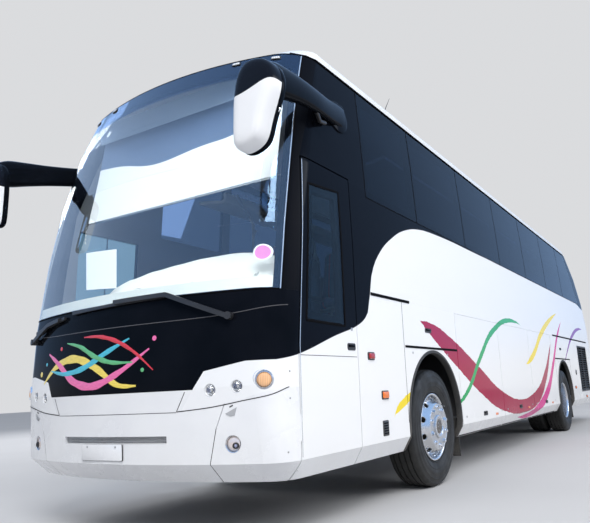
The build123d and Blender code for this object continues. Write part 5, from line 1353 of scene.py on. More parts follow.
# Section of a ribbon, as (part of the half width, part of the lift)
RIBBON_EDGE = [(-1, 0), (-1, 0.5), (-0.9, 1.0), (0, 1.15), (0.9, 1.0), (1, 0.5), (1, 0)]
SUNK = -0.0006
# Colour, then across, height and half width along each ribbon
RIBBONS = [
    ("yellow", [(-0.86, 1.04, 0.006), (-0.66, 1.16, 0.022), (-0.40, 1.20, 0.028), (-0.14, 1.12, 0.024),
                (0.08, 1.00, 0.018), (0.26, 0.985, 0.006)]),
    ("pink", [(-0.80, 1.26, 0.006), (-0.62, 1.17, 0.020), (-0.40, 1.04, 0.026), (-0.16, 1.00, 0.026),
              (0.10, 1.08, 0.020), (0.36, 1.22, 0.006)]),
    ("cyan", [(-0.74, 1.13, 0.004), (-0.52, 1.10, 0.016), (-0.28, 1.13, 0.020), (-0.04, 1.22, 0.018),
              (0.18, 1.30, 0.005)]),
    ("green", [(-0.52, 1.32, 0.004), (-0.34, 1.28, 0.014), (-0.16, 1.20, 0.017), (0.02, 1.15, 0.014),
               (0.22, 1.14, 0.004)]),
    ("red", [(-0.30, 1.345, 0.004), (-0.12, 1.335, 0.012), (0.06, 1.29, 0.014), (0.24, 1.20, 0.010),
             (0.40, 1.08, 0.003)]),
]
SPOTS = [("yellow", -0.92, 1.115, 0.020), ("pink", 0.40, 1.285, 0.017), ("cyan", -0.83, 1.185, 0.013),
         ("green", 0.31, 1.085, 0.014), ("red", -0.60, 1.285, 0.015)]


def mask_ribbons():
    """Five painted ribbons that weave across the mask, with a few dots."""
    for n, (colour, spots) in enumerate(RIBBONS):
        layer = Shape()
        lift = 0.0004 + 0.0003 * n
        line = smooth_spots(spots)
        rows = []
        for k, (x, z, half) in enumerate(line):
            x0, z0, _ = line[max(k - 1, 0)]
            x1, z1, _ = line[min(k + 1, len(line) - 1)]
            length = math.hypot(x1 - x0, z1 - z0)
            nx, nz = (z0 - z1) / length, (x1 - x0) / length
            half = half * (1 + 0.10 * math.sin(5.1 * k))
            rows.append([nose_point(x + nx * half * a, z + nz * half * a, lift * b if b > 0 else SUNK)
                         for a, b in RIBBON_EDGE])
        layer.rings(rows, RIBBON_PAINTS[colour])
        for name, x, z, r in SPOTS:
            if name == colour:
                layer.rings([[nose_point(x + a * r * math.cos(t), z + a * r * math.sin(t), b) for t in turns(24)]
                             for a, b in ((1, SUNK), (1, lift), (0.9, 1.4 * lift))], RIBBON_PAINTS[name])
        layer.piece(f"mask_ribbon_{colour}", "white_paint")


mask_ribbons()


# ---------------------------------------------------------------- sun blind
# Half width, then station and height of the cloth's two ends
BLIND_HALF, BLIND_TOP, BLIND_FOOT = 1.030, (-1.975, 3.270), (-2.120, 2.415)
# Where the painted shadow of the roof ends on the cloth, as (across, height)
SHADE_LINE = [(-1.10, 2.955), (-0.782, 2.931), (-0.296, 2.836), (0.272, 2.874), (0.586, 2.895), (1.10, 3.045)]


def painted_shade_cloth():
    """Blind cloth with painted light: painted sunlit white with a faint glow below, and a painted roof shadow in dim
    blue above a sagging line.
    """
    made, tree, shader = material("blind_painted_shade", (0.9, 0.9, 0.88), 0.85, Sheen_Weight=0.2)
    x, _, z = own_xyz(tree)
    line = curve_of(tree, x, SHADE_LINE, SHADE_LINE[0][0], SHADE_LINE[-1][0], 4.0)
    shaded = ramp(tree, calc(tree, "SUBTRACT", z, line), -0.006, 0.006)
    woven = use(tree, weave_group, Scale=1400.0)
    bright = blend_colour(tree, woven["Warp"], (0.94, 0.93, 0.92, 1), (0.89, 0.88, 0.88, 1))
    dim = blend_colour(tree, woven["Warp"], (0.115, 0.165, 0.27, 1), (0.09, 0.13, 0.22, 1))
    coloured(tree, shader, blend_colour(tree, shaded, bright, dim))
    # Painted light: the cloth glows faintly, white where it is painted as sunlit and dim blue in the painted shadow
    glow = blend_colour(tree, shaded, (0.9, 0.88, 0.88, 1), (0.05, 0.08, 0.14, 1))
    tree.links.new(glow, shader.inputs["Emission Color"])
    shader.inputs["Emission Strength"].default_value = 0.16
    bump(tree, shader, woven["Height"], 0.25, 0.0006)
    return made


def sun_blind():
    """The blind's cloth, slightly slack, with its roller cover, bar, end fittings and pull beads."""
    # The cloth's colour is painted light: a painted roof shadow over a painted sunlit part
    painted_shade_blind = painted_shade_cloth()
    columns, rows = 60, 28
    points, grid = [], {}
    for layer, lift in ((0, 0.0), (1, 0.0016)):
        for i in range(columns + 1):
            for j in range(rows + 1):
                u, v = i / columns, j / rows
                s, z = (high + (low - high) * v for high, low in zip(BLIND_TOP, BLIND_FOOT))
                wave = 0.006 * math.sin(math.pi * v) * math.sin(7.3 * u + 1.2 * math.sin(3.0 * v))
                wave += 0.003 * math.sin(math.pi * v) * math.sin(17.0 * u + 2.0)
                grid[layer, i, j] = len(points)
                points.append((-BLIND_HALF + 2 * BLIND_HALF * u, along(s) + wave + lift, z))
    faces = []
    for i in range(columns):
        for j in range(rows):
            (a, b, c, d), (e, f, g, h) = ([grid[layer, i + p, j + q] for p, q in ((0, 0), (1, 0), (1, 1), (0, 1))]
                                          for layer in (0, 1))
            faces += [(a, b, c, d), (h, g, f, e)]
            for at_rim, face in ((i == 0, (a, d, h, e)), (i == columns - 1, (b, f, g, c)),
                                 (j == 0, (a, e, f, b)), (j == rows - 1, (d, c, g, h))):
                if at_rim:
                    faces.append(face)
    sheet = Shape()
    sheet.add(points, faces, painted_shade_blind)
    cloth_piece = sheet.piece("blind_sheet", "blind_cloth")
    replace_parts(cloth_piece, "sun_blind")
    hardware = Shape()
    top_y, top_z = along(BLIND_TOP[0]), BLIND_TOP[1]
    foot_y, foot_z = along(BLIND_FOOT[0]), BLIND_FOOT[1]
    hardware.tube([(x, top_y, top_z) for x in (-1.045, 1.045)], 0.0260, grey_plastic, 24)
    hardware.tube([(x, foot_y, foot_z) for x in (-1.030, -1.024, 1.024, 1.030)], [0.007, 0.010, 0.010, 0.007],
                  alloy, 14)
    cover = [(-0.070, -0.085), (-0.076, 0.020), (-0.060, 0.105), (-0.020, 0.140), (-0.020, 0.134), (-0.057, 0.100),
             (-0.071, 0.020), (-0.065, -0.085)]
    hardware.rings([[(-1.0 + 2.0 * k / 20, top_y + a, top_z + b) for a, b in cover] for k in range(21)], header_grey)
    for x in (-0.5, 0.5):
        hardware.bar(x, 0.009, (top_y - 0.011, top_z + 0.02), (top_y + 0.011, 3.443), steel, 0.002)
    for side in (1, -1):
        hardware.tube([(side * 1.012, foot_y - 0.004, foot_z), (side * 1.075, foot_y + 0.012, foot_z + 0.010)],
                      0.0035, steel, 8)
        cord_x, cord_y = side * 1.070, foot_y + 0.012
        for k in range(5):
            spot = Vector((cord_x, cord_y, foot_z - 0.020 - 0.034 * k))
            hardware.tube([spot + Vector((0, 0, h)) for h in (0.006, 0.003, -0.003, -0.006)],
                          [0.002, 0.005, 0.005, 0.002], pale_trim, 8)
        hardware.tube([(cord_x, cord_y, foot_z + 0.008), (cord_x, cord_y, foot_z - 0.17)], 0.0012, pale_trim, 6)
    hardware.piece("blind_hardware", "grey_plastic")


header_grey = weathered("header_grey", (0.30, 0.36, 0.44), 0.6, (0.26, 0.32, 0.40), grain=500.0, dust=0.0)
sun_blind()


# ---------------------------------------------------------------- fittings on the sides
PROUD = [(-0.002, 1.0), (0.0035, 1.0), (0.0060, 0.93)]
DISHED = [(-0.002, 1.0), (0.003, 1.0), (0.004, 0.94), (0.001, 0.86), (0.0008, 0.3)]
LEVER = [(0.0005, 1.0), (0.007, 0.98), (0.010, 0.85)]
GASKET_WIDE, GASKET_PROUD = 0.020, 0.0032
LEFT_FLAPS = [0.650, 2.1633, 3.6767, 5.190]
RIGHT_FLAPS = [0.650, 2.250, 3.850]


def plate(shape, point_at, spot, half, corner, finish, rows=PROUD):
    """A plate with round corners on a skin, from (height off the skin, scale) rows; point_at gives the skin."""
    outline = head_outline(*half, corner, 6)
    shape.rings([[point_at(spot[0] + a * grow, spot[1] + b * grow, lift) for a, b in outline]
                 for lift, grow in rows], finish)


def side_plate(shape, side, *plan):
    """A plate on a side skin, whose spot is a station and a height."""
    plate(shape, lambda s, z, out: side_point(side, s, z, out), *plan)


def tail_plate(shape, *plan):
    """A plate on the rear skin."""
    plate(shape, tail_point, *plan)


def marker_lamp(shape, side, spot, half, finish):
    """A side lamp: black foot and a crowned lens."""
    side_plate(shape, side, spot, (half[0] + 0.008, half[1] + 0.008), 0.012, black_plastic,
               [(-0.002, 1.0), (0.005, 1.0), (0.007, 0.95)])
    side_plate(shape, side, spot, half, 0.010, finish,
               [(0.004, 1.0), (0.012, 0.98), (0.017, 0.86), (0.019, 0.55)])


def pull_handle(shape, side, spot, half, finish):
    """A dished handle with a lever across it."""
    side_plate(shape, side, spot, half, min(half) * 0.6, black_plastic, DISHED)
    side_plate(shape, side, (spot[0], spot[1] + half[1] * 0.25), (half[0] * 0.74, half[1] * 0.34), half[1] * 0.3,
               finish, LEVER)


def gasket(shape, side, corners):
    """A gasket round a closed outline of (station, height) corners."""
    shape.strip(surface_run(side, corners + [corners[0]], 0.0003), GASKET_WIDE, GASKET_PROUD, rubber_seal)


def quarter_fittings(side, label):
    """Lamps, covers, handles and seams of the fixed panels on one side."""
    fit = Shape()
    if side > 0:
        marker_lamp(fit, side, (-1.063, 0.840), (0.050, 0.026), orange_marker)
        marker_lamp(fit, side, (-1.263, 1.139), (0.046, 0.022), red_lens)
        side_plate(fit, side, (-1.079, 0.590), (0.048, 0.058), 0.008, black_plastic)
        for k in range(5):
            side_plate(fit, side, (-1.079, 0.551 + 0.019 * k), (0.038, 0.005), 0.004, black_gloss,
                       [(0.005, 1.0), (0.008, 1.0), (0.010, 0.8)])
        uprights = [(-0.645, 1.622)]
    else:
        marker_lamp(fit, side, (-0.95, 0.840), (0.050, 0.026), orange_marker)
        cover = [(-1.10, 1.02), (-0.80, 1.02), (-0.80, 1.34), (-1.10, 1.34), (-1.10, 1.02)]
        fit.seam(surface_run(side, cover, 0.0003), 0.005, 0.0009)
        side_plate(fit, side, (-0.835, 1.18), (0.016, 0.016), 0.015, steel)
        uprights = [(-0.645, 1.622), (-0.646, 1.622)]
    for s, top in [*uprights, (WHEELBASE - 0.645, 1.225), (WHEELBASE + 0.645, 1.225)]:
        fit.seam(surface_run(side, [(s, 0.60), (s, top)]), 0.0045, 0.0008)
    for spot in ((-0.09, 1.40), (5.94, 1.41)):
        pull_handle(fit, side, spot, (0.075, 0.021), black_gloss)
    for s in (-0.05, 6.10):
        for d in (-0.42, 0.42):
            side_plate(fit, side, (s + d, 1.185), (0.011, 0.011), 0.0105, steel, [(-0.001, 1.0), (0.002, 0.9)])
    for spot in ((8.05, 0.520), (6.98, 0.720)):
        marker_lamp(fit, side, spot, (0.045, 0.019), orange_marker)
    side_plate(fit, side, (7.20, 1.000), (0.052, 0.052), 0.050, black_plastic)
    side_plate(fit, side, (7.20, 1.000), (0.030, 0.008), 0.007, steel, [(0.004, 1.0), (0.010, 0.9)])
    fit.piece(f"quarter_fittings_{label}", "black_plastic")


def grille_mesh(side, label):
    """Wire mesh behind the louvres of a radiator opening, and its screws."""
    fit = Shape()
    x = side * 1.2285
    for s0, s1 in ((7.622, 8.098), (8.132, 8.608)):
        wires = [((s0 + (s1 - s0) * k / 16, 0.653), (s0 + (s1 - s0) * k / 16, 1.497)) for k in range(17)]
        wires += [((s0, 0.655 + 0.035 * k), (s1, 0.655 + 0.035 * k)) for k in range(25)]
        for ends in wires:
            fit.tube([at(x, *end) for end in ends], 0.0016, black_plastic, 4)
    for s in (7.605, 8.115, 8.625):
        for z in (0.636, 0.93, 1.22, 1.514):
            fit.button(at(side * 1.2685, s, z), (side, 0, 0), 0.0075, 0.003, steel, 10)
    fit.piece(f"grille_mesh_{label}", "black_plastic")


def flap_fittings(side, label, seams):
    """Handle, locks and reflector on each luggage flap of one side."""
    for n, (front, rear) in enumerate(zip(seams, seams[1:]), 1):
        fit = Shape()
        middle = (front + rear) / 2
        pull_handle(fit, side, (middle, 0.560), (0.070, 0.024), black_gloss)
        for s in (front + 0.13, rear - 0.13):
            side_plate(fit, side, (s, 0.560), (0.012, 0.012), 0.0115, steel, [(-0.001, 1.0), (0.0025, 0.92)])
        side_plate(fit, side, (middle + 0.42, 0.530), (0.040, 0.013), 0.006, orange_marker)
        fit.seam(surface_run(side, [(front + 0.02, 0.3815), (rear - 0.02, 0.3815)], 0.0), 0.014, 0.0022)
        fit.piece(f"flap_fittings_{label}_{n}", "black_plastic", f"flap_{label}_{n}")


def door_fittings():
    """Edge trim, window gasket, handle and lock of the driver's door."""
    fit = Shape()
    fit.strip(surface_run(1, [(-2.221, 0.42), (-2.221, 1.20), (-2.103, 2.505)], 0.0002), 0.0055, 0.0020, bright_trim)
    gasket(fit, 1, [(-2.1365, 1.3585), (-2.0515, 2.3370), (-1.6385, 2.3720), (-1.6385, 1.3485)])
    pull_handle(fit, 1, (-1.560, 1.200), (0.058, 0.026), black_gloss)
    side_plate(fit, 1, (-1.545, 1.330), (0.013, 0.013), 0.0125, steel, [(-0.001, 1.0), (0.003, 0.92)])
    fit.seam(surface_run(1, [(-2.215, 1.128), (-1.485, 1.128)], 0.0001), 0.0045, 0.0008, seam_grey)
    fit.piece("drivers_door_fittings", "black_plastic", "drivers_door")


def passenger_door_fittings():
    """Gaskets, centre bars, handles and step edges of the right-hand doors."""
    fit = Shape()
    for front, rear, low, high in ((-2.106, -1.360, 1.330, 2.440), (3.924, 4.626, 1.330, 2.330)):
        for z0, z1 in ((low, high), (0.640, 1.270)):
            gasket(fit, -1, [(front, z0), (rear, z0), (rear, z1), (front, z1)])
        middle = (front + rear) / 2
        fit.strip(surface_run(-1, [(middle, low + 0.02), (middle, high - 0.02)], 0.0002), 0.012, 0.0024, rubber_seal)
        side_plate(fit, -1, (rear + 0.035, 1.30), (0.020, 0.070), 0.016, black_plastic)
        side_plate(fit, -1, (rear + 0.035, 1.31), (0.009, 0.050), 0.008, steel,
                   [(0.004, 1.0), (0.016, 0.95), (0.019, 0.8)])
        fit.strip(surface_run(-1, [(front - 0.06, 0.400), (rear + 0.06, 0.400)], 0.0), 0.020, 0.0035, rubber_seal)
    fit.piece("passenger_door_fittings", "black_plastic")


def mudflaps():
    """Rubber flaps with ribs and clamp strips behind the wheels."""
    flaps = Shape()
    heights = [(0.60 - 0.42 * j / 6, 0.0) for j in range(7)] + [(0.18 + 0.42 * j / 6, 0.009) for j in range(7)]
    for side in (1, -1):
        for s, inner, outer in ((0.668, 0.94, 1.205), (6.718, 0.62, 1.205)):
            flaps.rings([[(side * (inner + (outer - inner) * k / 8),
                           along(s + 0.030 * ((0.60 - z) / 0.42) ** 2) + 0.003 * (k % 2) + d, z) for z, d in heights]
                         for k in range(9)], black_rubber)
            flaps.block((side * inner, along(s) - 0.006, 0.555), (side * outer, along(s) + 0.016, 0.600), steel, 0.003)
    flaps.piece("mudflaps", "black_rubber")


SIDES = ((1, "left", LEFT_FLAPS), (-1, "right", RIGHT_FLAPS))
for side, label, _ in SIDES:
    quarter_fittings(side, label)
for side, label, _ in SIDES:
    grille_mesh(side, label)
for side, label, seams in SIDES:
    flap_fittings(side, label, seams)
door_fittings()
passenger_door_fittings()
mudflaps()


# ---------------------------------------------------------------- rear end
def tail_cluster():
    """Lamp columns: housing with four round lamps in bright rings on each side."""
    lamps = Shape()
    ring = [(0.0430, -0.006), (0.0430, 0.004), (0.0455, 0.0075), (0.0490, 0.0070), (0.0500, 0.0020), (0.0500, -0.006)]
    for side in (1, -1):
        x = side * 1.070
        tail_plate(lamps, (x, 1.280), (0.0555, 0.2755), 0.020, black_gloss,
                   [(-0.046, 1.0), (0.0015, 1.0), (0.0035, 0.97), (0.0010, 0.94)])
        for z, finish in ((1.078, red_lens), (1.212, clear_lens), (1.347, amber_lens), (1.482, red_lens)):
            foot = tail_point(x, z)
            out = (tail_point(x, z, 0.02) - foot).normalized()
            lamps.lathe(ring, foot, out, chrome, 36)
            lamps.cap(foot + out * 0.001, out, 0.0432, 0.011, finish, 32, 5, back=0.006)
            lamps.cap(foot + out * 0.010, out, 0.0130, 0.004, finish, 16, 3)
    return lamps.piece("tail_clusters", "red_lens")


def rear_trim():
    """Gasket, upper lamps, reflectors, rub strip and towing covers of the rear end."""
    trim = Shape()
    window = [(-1.0, 2.380), (1.0, 2.380), (1.0, 3.330), (-1.0, 3.330), (-1.0, 2.380)]
    trim.strip(tail_run(window, 0.0003), 0.020, 0.0035, rubber_seal)
    for side in (1, -1):
        for x, z, half, finish in (
                (0.86, 3.392, (0.040, 0.015), red_lens), (0.64, 3.392, (0.040, 0.015), orange_marker),
                (0.86, 0.600, (0.060, 0.024), red_lens), (0.60, 0.480, (0.050, 0.022), clear_lens)):
            tail_plate(trim, (side * x, z), (half[0] + 0.008, half[1] + 0.008), 0.010, black_plastic)
            tail_plate(trim, (side * x, z), half, 0.008, finish, [(0.004, 1.0), (0.010, 0.98), (0.014, 0.82)])
        tail_plate(trim, (side * 0.33, 0.520), (0.050, 0.040), 0.012, gloss_white,
                   [(-0.001, 1.0), (0.002, 1.0), (0.003, 0.95)])
        trim.strip(tail_run([(side * 0.62, 0.706), (side * 1.06, 0.706)], 0.0), 0.034, 0.010, black_rubber)
    trim.strip(tail_run([(-0.56, 0.706), (0.56, 0.706)], 0.0), 0.034, 0.010, black_rubber)
    trim.seam(tail_run([(-1.16, 0.492), (1.16, 0.492)], 0.0001), 0.004, 0.0008, seam_grey)
    trim.piece("rear_trim", "black_rubber")


def lid_fittings():
    """Louvres, handle, locks, lamps and blank number panel on the engine lid."""
    lid = Shape()
    louvre = [(-0.5, -0.3), (-0.5, 0.2), (-0.35, 0.95), (-0.1, 1.0), (0.5, 0.25), (0.5, -0.3)]
    for side in (1, -1):
        a, b = side * 0.14, side * 0.80
        for k in range(12):
            z = 1.205 + 0.034 * k
            lid.strip(tail_run([(min(a, b), z), (max(a, b), z)], 0.0), 0.026, 0.011, black_plastic, louvre)
        edge = [(a, 1.182), (b, 1.182), (b, 1.602), (a, 1.602), (a, 1.182)]
        lid.strip(tail_run(edge if side > 0 else edge[::-1], 0.0), 0.016, 0.006, black_plastic)
        tail_plate(lid, (side * 0.78, 0.865), (0.024, 0.024), 0.023, black_plastic)
        tail_plate(lid, (side * 0.78, 0.865), (0.015, 0.005), 0.004, steel, [(0.004, 1.0), (0.012, 0.9)])
    for spot, half, corner, finish, rows in (
            ((0.0, 0.985), (0.275, 0.070), 0.010, black_plastic,
             [(-0.001, 1.0), (0.004, 1.0), (0.006, 0.97), (0.003, 0.95)]),
            ((0.0, 0.985), (0.255, 0.052), 0.006, gloss_white, [(0.002, 1.0), (0.0045, 1.0), (0.0055, 0.99)]),
            ((0.0, 1.080), (0.140, 0.016), 0.008, black_plastic, [(-0.001, 1.0), (0.008, 0.96), (0.010, 0.85)]),
            ((-0.09, 1.078), (0.022, 0.007), 0.004, clear_lens, [(0.008, 1.0), (0.0125, 0.9)]),
            ((0.09, 1.078), (0.022, 0.007), 0.004, clear_lens, [(0.008, 1.0), (0.0125, 0.9)]),
            ((0.0, 0.865), (0.070, 0.020), 0.012, black_plastic, DISHED),
            ((0.0, 0.870), (0.052, 0.008), 0.007, steel, LEVER)):
        tail_plate(lid, spot, half, corner, finish, rows)
    lid.piece("engine_lid_fittings", "black_plastic", "engine_lid")


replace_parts(tail_cluster(), "tail_lamps")
rear_trim()
lid_fittings()


# ---------------------------------------------------------------- roof and underside
def roof_fittings():
    """Fans in their wells, hatch seal and lever, seams, corner lamps and aerial."""
    fans = Shape()
    for s in (1.9, 2.7, 5.8, 6.6):
        for x in (-0.42, 0.42):
            y = along(s)
            fans.lathe([(0.0, 3.672), (0.055, 3.672), (0.055, 3.690), (0.045, 3.694), (0.0, 3.694)], (x, y, 0.0),
                       (0, 0, 1), black_plastic, 24)
            for t in turns(7):
                c, v = math.cos(t), math.sin(t)
                fans.rings([[(x + r * c - d * wide * v, y + r * v + d * wide * c, z0 + (z1 - z0) * (d + 0.5) + lift)
                             for d, lift in ((-0.5, 0.0), (0.5, 0.0), (0.5, 0.002), (-0.5, 0.002))]
                            for r, z0, z1, wide in ((0.050, 3.676, 3.688, 0.030), (0.140, 3.675, 3.687, 0.055),
                                                    (0.228, 3.676, 3.684, 0.070))], black_plastic)
            for r in (0.070, 0.110, 0.150, 0.190, 0.230):
                fans.tube([(x + r * math.cos(t), y + r * math.sin(t), 3.6965) for t in turns(36)], 0.0022, steel, 4,
                          closed=True)
            for k in range(4):
                t = math.pi * k / 4
                fans.tube([(x - 0.248 * math.cos(t), y - 0.248 * math.sin(t), 3.695),
                           (x + 0.248 * math.cos(t), y + 0.248 * math.sin(t), 3.695)], 0.0022, steel, 4)
    fans.piece("roof_fans", "black_plastic")
    fit = Shape()
    for s in (2.30, 3.35, 4.25, 5.15, 6.20):
        fit.tube([at(-0.985, s, 3.6870), at(0.0, s, 3.6975), at(0.985, s, 3.6870)], 0.0028, rubber_seal, 6)
    for x in (-1.094, 1.094):
        fit.tube([at(x, 1.08, 3.5780), at(x, 7.41, 3.5780)], 0.006, rubber_seal, 6)
    for y in (along(-0.80), along(-0.18)):
        for x0, x1 in ((-0.30, -0.24), (0.24, 0.30)):
            fit.block((x0, y - 0.02, 3.662), (x1, y + 0.02, 3.672), black_plastic, 0.003)
    for side in (1, -1):
        for x, z in ((1.02, 3.395), (0.70, 3.405)):
            plate(fit, nose_point, (side * x, z), (0.036, 0.016), 0.010, black_plastic)
            plate(fit, nose_point, (side * x, z), (0.030, 0.011), 0.010, clear_lens,
                  [(0.004, 1.0), (0.009, 0.97), (0.012, 0.8)])
    fit.button(at(1.130, -0.444, 3.5405), (0.25, 0, 1.0), 0.026, 0.014, black_plastic, 16)
    fit.tube([at(1.131, -0.444, 3.545), at(1.155, -0.436, 3.610), at(1.188, -0.420, 3.692)], [0.0050, 0.0030, 0.0016],
             black_plastic, 6)
    fit.piece("roof_fittings", "black_plastic")


def underside():
    """Air tanks, propeller shaft, silencer, pipes and tail pipe below the floors."""
    run = Shape()
    s0, s1, z, r = -2.00, -1.20, 0.700, 0.120
    rows = [(s0 - 0.040, 0.02), (s0 - 0.034, 0.45), (s0 - 0.020, 0.78), (s0, 1.0), (s1, 1.0), (s1 + 0.020, 0.78),
            (s1 + 0.034, 0.45), (s1 + 0.040, 0.02)]
    for x in (0.17, -0.17):
        run.rings([[(x + r * a * math.cos(t), along(s), z + r * a * math.sin(t)) for t in turns(28)] for s, a in rows],
                  chassis_paint)
        for s in (s0 + 0.15, s1 - 0.15):
            y = along(s)
            run.tube([(x + (r + 0.003) * math.cos(t), y, z + (r + 0.003) * math.sin(t)) for t in turns(28)], 0.006,
                     steel, 6, closed=True)
            run.bar(x, 0.012, (y - 0.02, z + r - 0.004), (y + 0.02, 0.902), chassis_paint, 0.003)
    shaft = [(6.36, 0.545), (6.42, 0.560), (6.43, 0.562), (7.20, 0.742), (7.21, 0.744), (7.32, 0.765)]
    run.tube([at(0.0, *spot) for spot in shaft], [0.060, 0.060, 0.045, 0.045, 0.060, 0.060], cast_metal, 24)
    run.tube([at(0.62, s, 0.520) for s in (8.30, 8.36, 9.02, 9.08)], [0.060, 0.125, 0.125, 0.060], steel, 28)
    pipes = [([(0.62, 9.05, 0.520), (0.64, 9.16, 0.480), (0.70, 9.24, 0.410), (0.72, 9.34, 0.372), (0.72, 9.44, 0.360)],
              0.046, steel, 20),
             ([(0.62, 8.33, 0.520), (0.55, 8.22, 0.560), (0.42, 8.15, 0.640)], 0.046, steel, 18)]
    for side in (1, -1):
        pipes += [([(side * 0.330, -1.10, 0.850), (side * 0.330, -0.50, 0.850)], 0.010, steel, 8),
                  ([(side * 0.350, 5.60, 0.620), (side * 0.340, 5.85, 0.560), (side * 0.345, 6.0, 0.530)], 0.009,
                   rubber_seal, 8)]
    for path, radius, finish, sides in pipes:
        run.tube([at(*spot) for spot in path], radius, finish, sides)
    run.piece("underside", "cast_metal")


roof_fittings()
underside()


# ---------------------------------------------------------------- driver's place
def line_at(table, x):
    """Value between the rows of a table of (place, value)."""
    if x <= table[0][0]:
        return table[0][1]
    for (a, p), (b, q) in zip(table, table[1:]):
        if x <= b:
            t = (x - a) / (b - a)
            t = t * t * (3 - 2 * t)
            return p + (q - p) * t
    return table[-1][1]


HOOD_TOP = [(-1.14, 1.600), (-0.55, 1.615), (-0.34, 1.655), (-0.14, 1.775), (0.13, 1.808), (0.35, 1.822), (0.60, 1.842),
            (0.82, 1.850), (0.98, 1.840), (1.08, 1.812), (1.135, 1.775)]
HOOD_BACK = [(-0.50, 0.0), (-0.20, 0.14)]
SHELF_Z = 1.572


def dash_hood():
    """The dashboard: a low shelf behind the glass that swells into the driver's hood."""
    dash = Shape()
    rings = []
    for k in range(61):
        x = -1.140 + 2.275 * k / 60
        top = line_at(HOOD_TOP, x)
        rise = top - SHELF_Z
        wall = [nose_point(x, z, -0.070).y for z in (1.500, 1.545, 1.590)]
        deep = along(-2.335 + line_at(HOOD_BACK, x))
        low = 1.330 if x < -0.36 else 1.300
        crown = max(wall[2] + 0.13, along(-2.415))
        ring = [(wall[0] + 0.015, 1.470), (wall[0], 1.500), (wall[1], 1.545), (wall[2] + 0.006, SHELF_Z),
                (wall[2] + 0.040, SHELF_Z + 0.30 * rise), (wall[2] + 0.075, SHELF_Z + 0.66 * rise),
                (crown - 0.015, top - 0.030), (crown + 0.030, top - 0.004), (crown + 0.075, top),
                (deep - 0.045, top - 0.004), (deep - 0.012, top - 0.018), (deep, top - 0.045),
                (deep - 0.004, SHELF_Z + 0.45 * rise), (deep + 0.012, 1.52), (deep + 0.012, low), (wall[0] + 0.06, low)]
        rings.append([Vector((x, y, z)) for y, z in ring])
    dash.rings(rings, cream_trim_painted_glow)
    dash.block(at(-0.335, -2.40, 0.967), at(1.150, -2.135, 1.315), grey_plastic, 0.03)
    # instrument panel under the hood, with dials and switches
    for k in range(5):
        dash.lathe([(0.0, 0.0), (0.036, 0.0), (0.036, 0.006), (0.040, 0.009), (0.042, 0.004), (0.042, -0.004),
                    (0.0, -0.004)], at(0.400 + 0.100 * k, -2.192, 1.695), (0, 0.9, 0.35), black_gloss, 24)
    for k in range(8):
        dash.block(at(0.270 + 0.022 * k, -2.200, 1.600), at(0.286 + 0.022 * k, -2.178, 1.632), black_plastic, 0.003)
    # round vents on the glass side
    for x in (1.020, 0.560, 0.100):
        y, z = max(nose_point(x, 1.590, -0.070).y + 0.066, along(-2.53)) - 0.006, 1.668
        dash.lathe([(0.0, -0.008), (0.020, -0.008), (0.024, 0.004), (0.034, 0.006), (0.037, -0.002), (0.037, -0.014),
                    (0.0, -0.014)], (x, y, z), (0, -0.75, 0.62), pale_trim, 28)
        for d in (-0.012, -0.004, 0.004, 0.012):
            dash.tube([(end, y - 0.004 + d * 0.6, z + 0.003 + d * 0.75) for end in (x - 0.019, x + 0.019)], 0.0018,
                      black_plastic, 5)
    return dash.piece("dash_hood", "cream_plastic")


def glass_cards():
    """Blank card, round card and note that lean inside the windscreen."""
    cards = Shape()
    (x0, z0), (x1, z1), (x2, z2), (x3, z3) = (-0.427, 1.994), (-0.054, 1.962), (-0.002, 1.667), (-0.354, 1.698)
    grid = []
    for t in [k / 8 for k in range(9)]:
        low = (x3 + (x2 - x3) * t, z3 + (z2 - z3) * t)
        high = (x0 + (x1 - x0) * t, z0 + (z1 - z0) * t)
        row = [(low[0] + (high[0] - low[0]) * j / 6, low[1] + (high[1] - low[1]) * j / 6) for j in range(7)]
        grid.append([nose_point(x, z, -0.0120) for x, z in row] + [nose_point(x, z, -0.0135) for x, z in row[::-1]])
    cards.rings(grid, card_white_painted_glow)
    for wide, tall, rows, finish in (
            (0.052, 0.056, ((-0.0135, 1.0), (-0.0105, 1.0), (-0.0100, 0.98)), card_white_painted_glow),
            (0.042, 0.046, ((-0.0108, 1.0), (-0.0094, 1.0)), card_pink)):
        cards.rings([[nose_point(1.132 + wide * grow * math.cos(t), 1.790 + tall * grow * math.sin(t), lift)
                      for t in turns(32)] for lift, grow in rows], finish)
    note = [(0.861, 1.566), (0.947, 1.570), (0.946, 1.600), (0.862, 1.596)]
    cards.rings([[nose_point(x, z, lift) for x, z in note] for lift in (-0.0130, -0.0105)], card_yellow)
    cards.piece("glass_cards", "white_paint")


# Painted light: the white card glows faintly so it reads bright behind the glass
card_white_painted_glow = weathered("card_white_painted_glow", (0.80, 0.80, 0.80), 0.6, (0.76, 0.76, 0.77), dust=0.0,
                       Emission_Color=(1, 1, 1, 1), Emission_Strength=0.25)
card_pink = weathered("card_pink", (0.78, 0.25, 0.55), 0.6, (0.74, 0.22, 0.50), dust=0.0)
card_yellow = weathered("card_yellow", (0.80, 0.78, 0.45), 0.6, (0.76, 0.74, 0.42), dust=0.0)
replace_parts(dash_hood(), "dashboard")
glass_cards()


# ---------------------------------------------------------------- seats
def pad_rings(rows):
    """A closed pad of rounded rings; rows are (z, half width, half depth), stacked upwards."""
    def rounded(half, v):
        return half * math.copysign(abs(v) ** 0.42, v)

    return [[(rounded(wide, math.cos(t)), rounded(deep, math.sin(t)), z) for t in turns(28)] for z, wide, deep in rows]


def with_modifier(name, mesh, kind):
    """A linked object with one modifier, and that modifier."""
    made = link(bpy.data.objects.new(name, mesh))
    return made, made.modifiers.new(kind.lower(), kind)


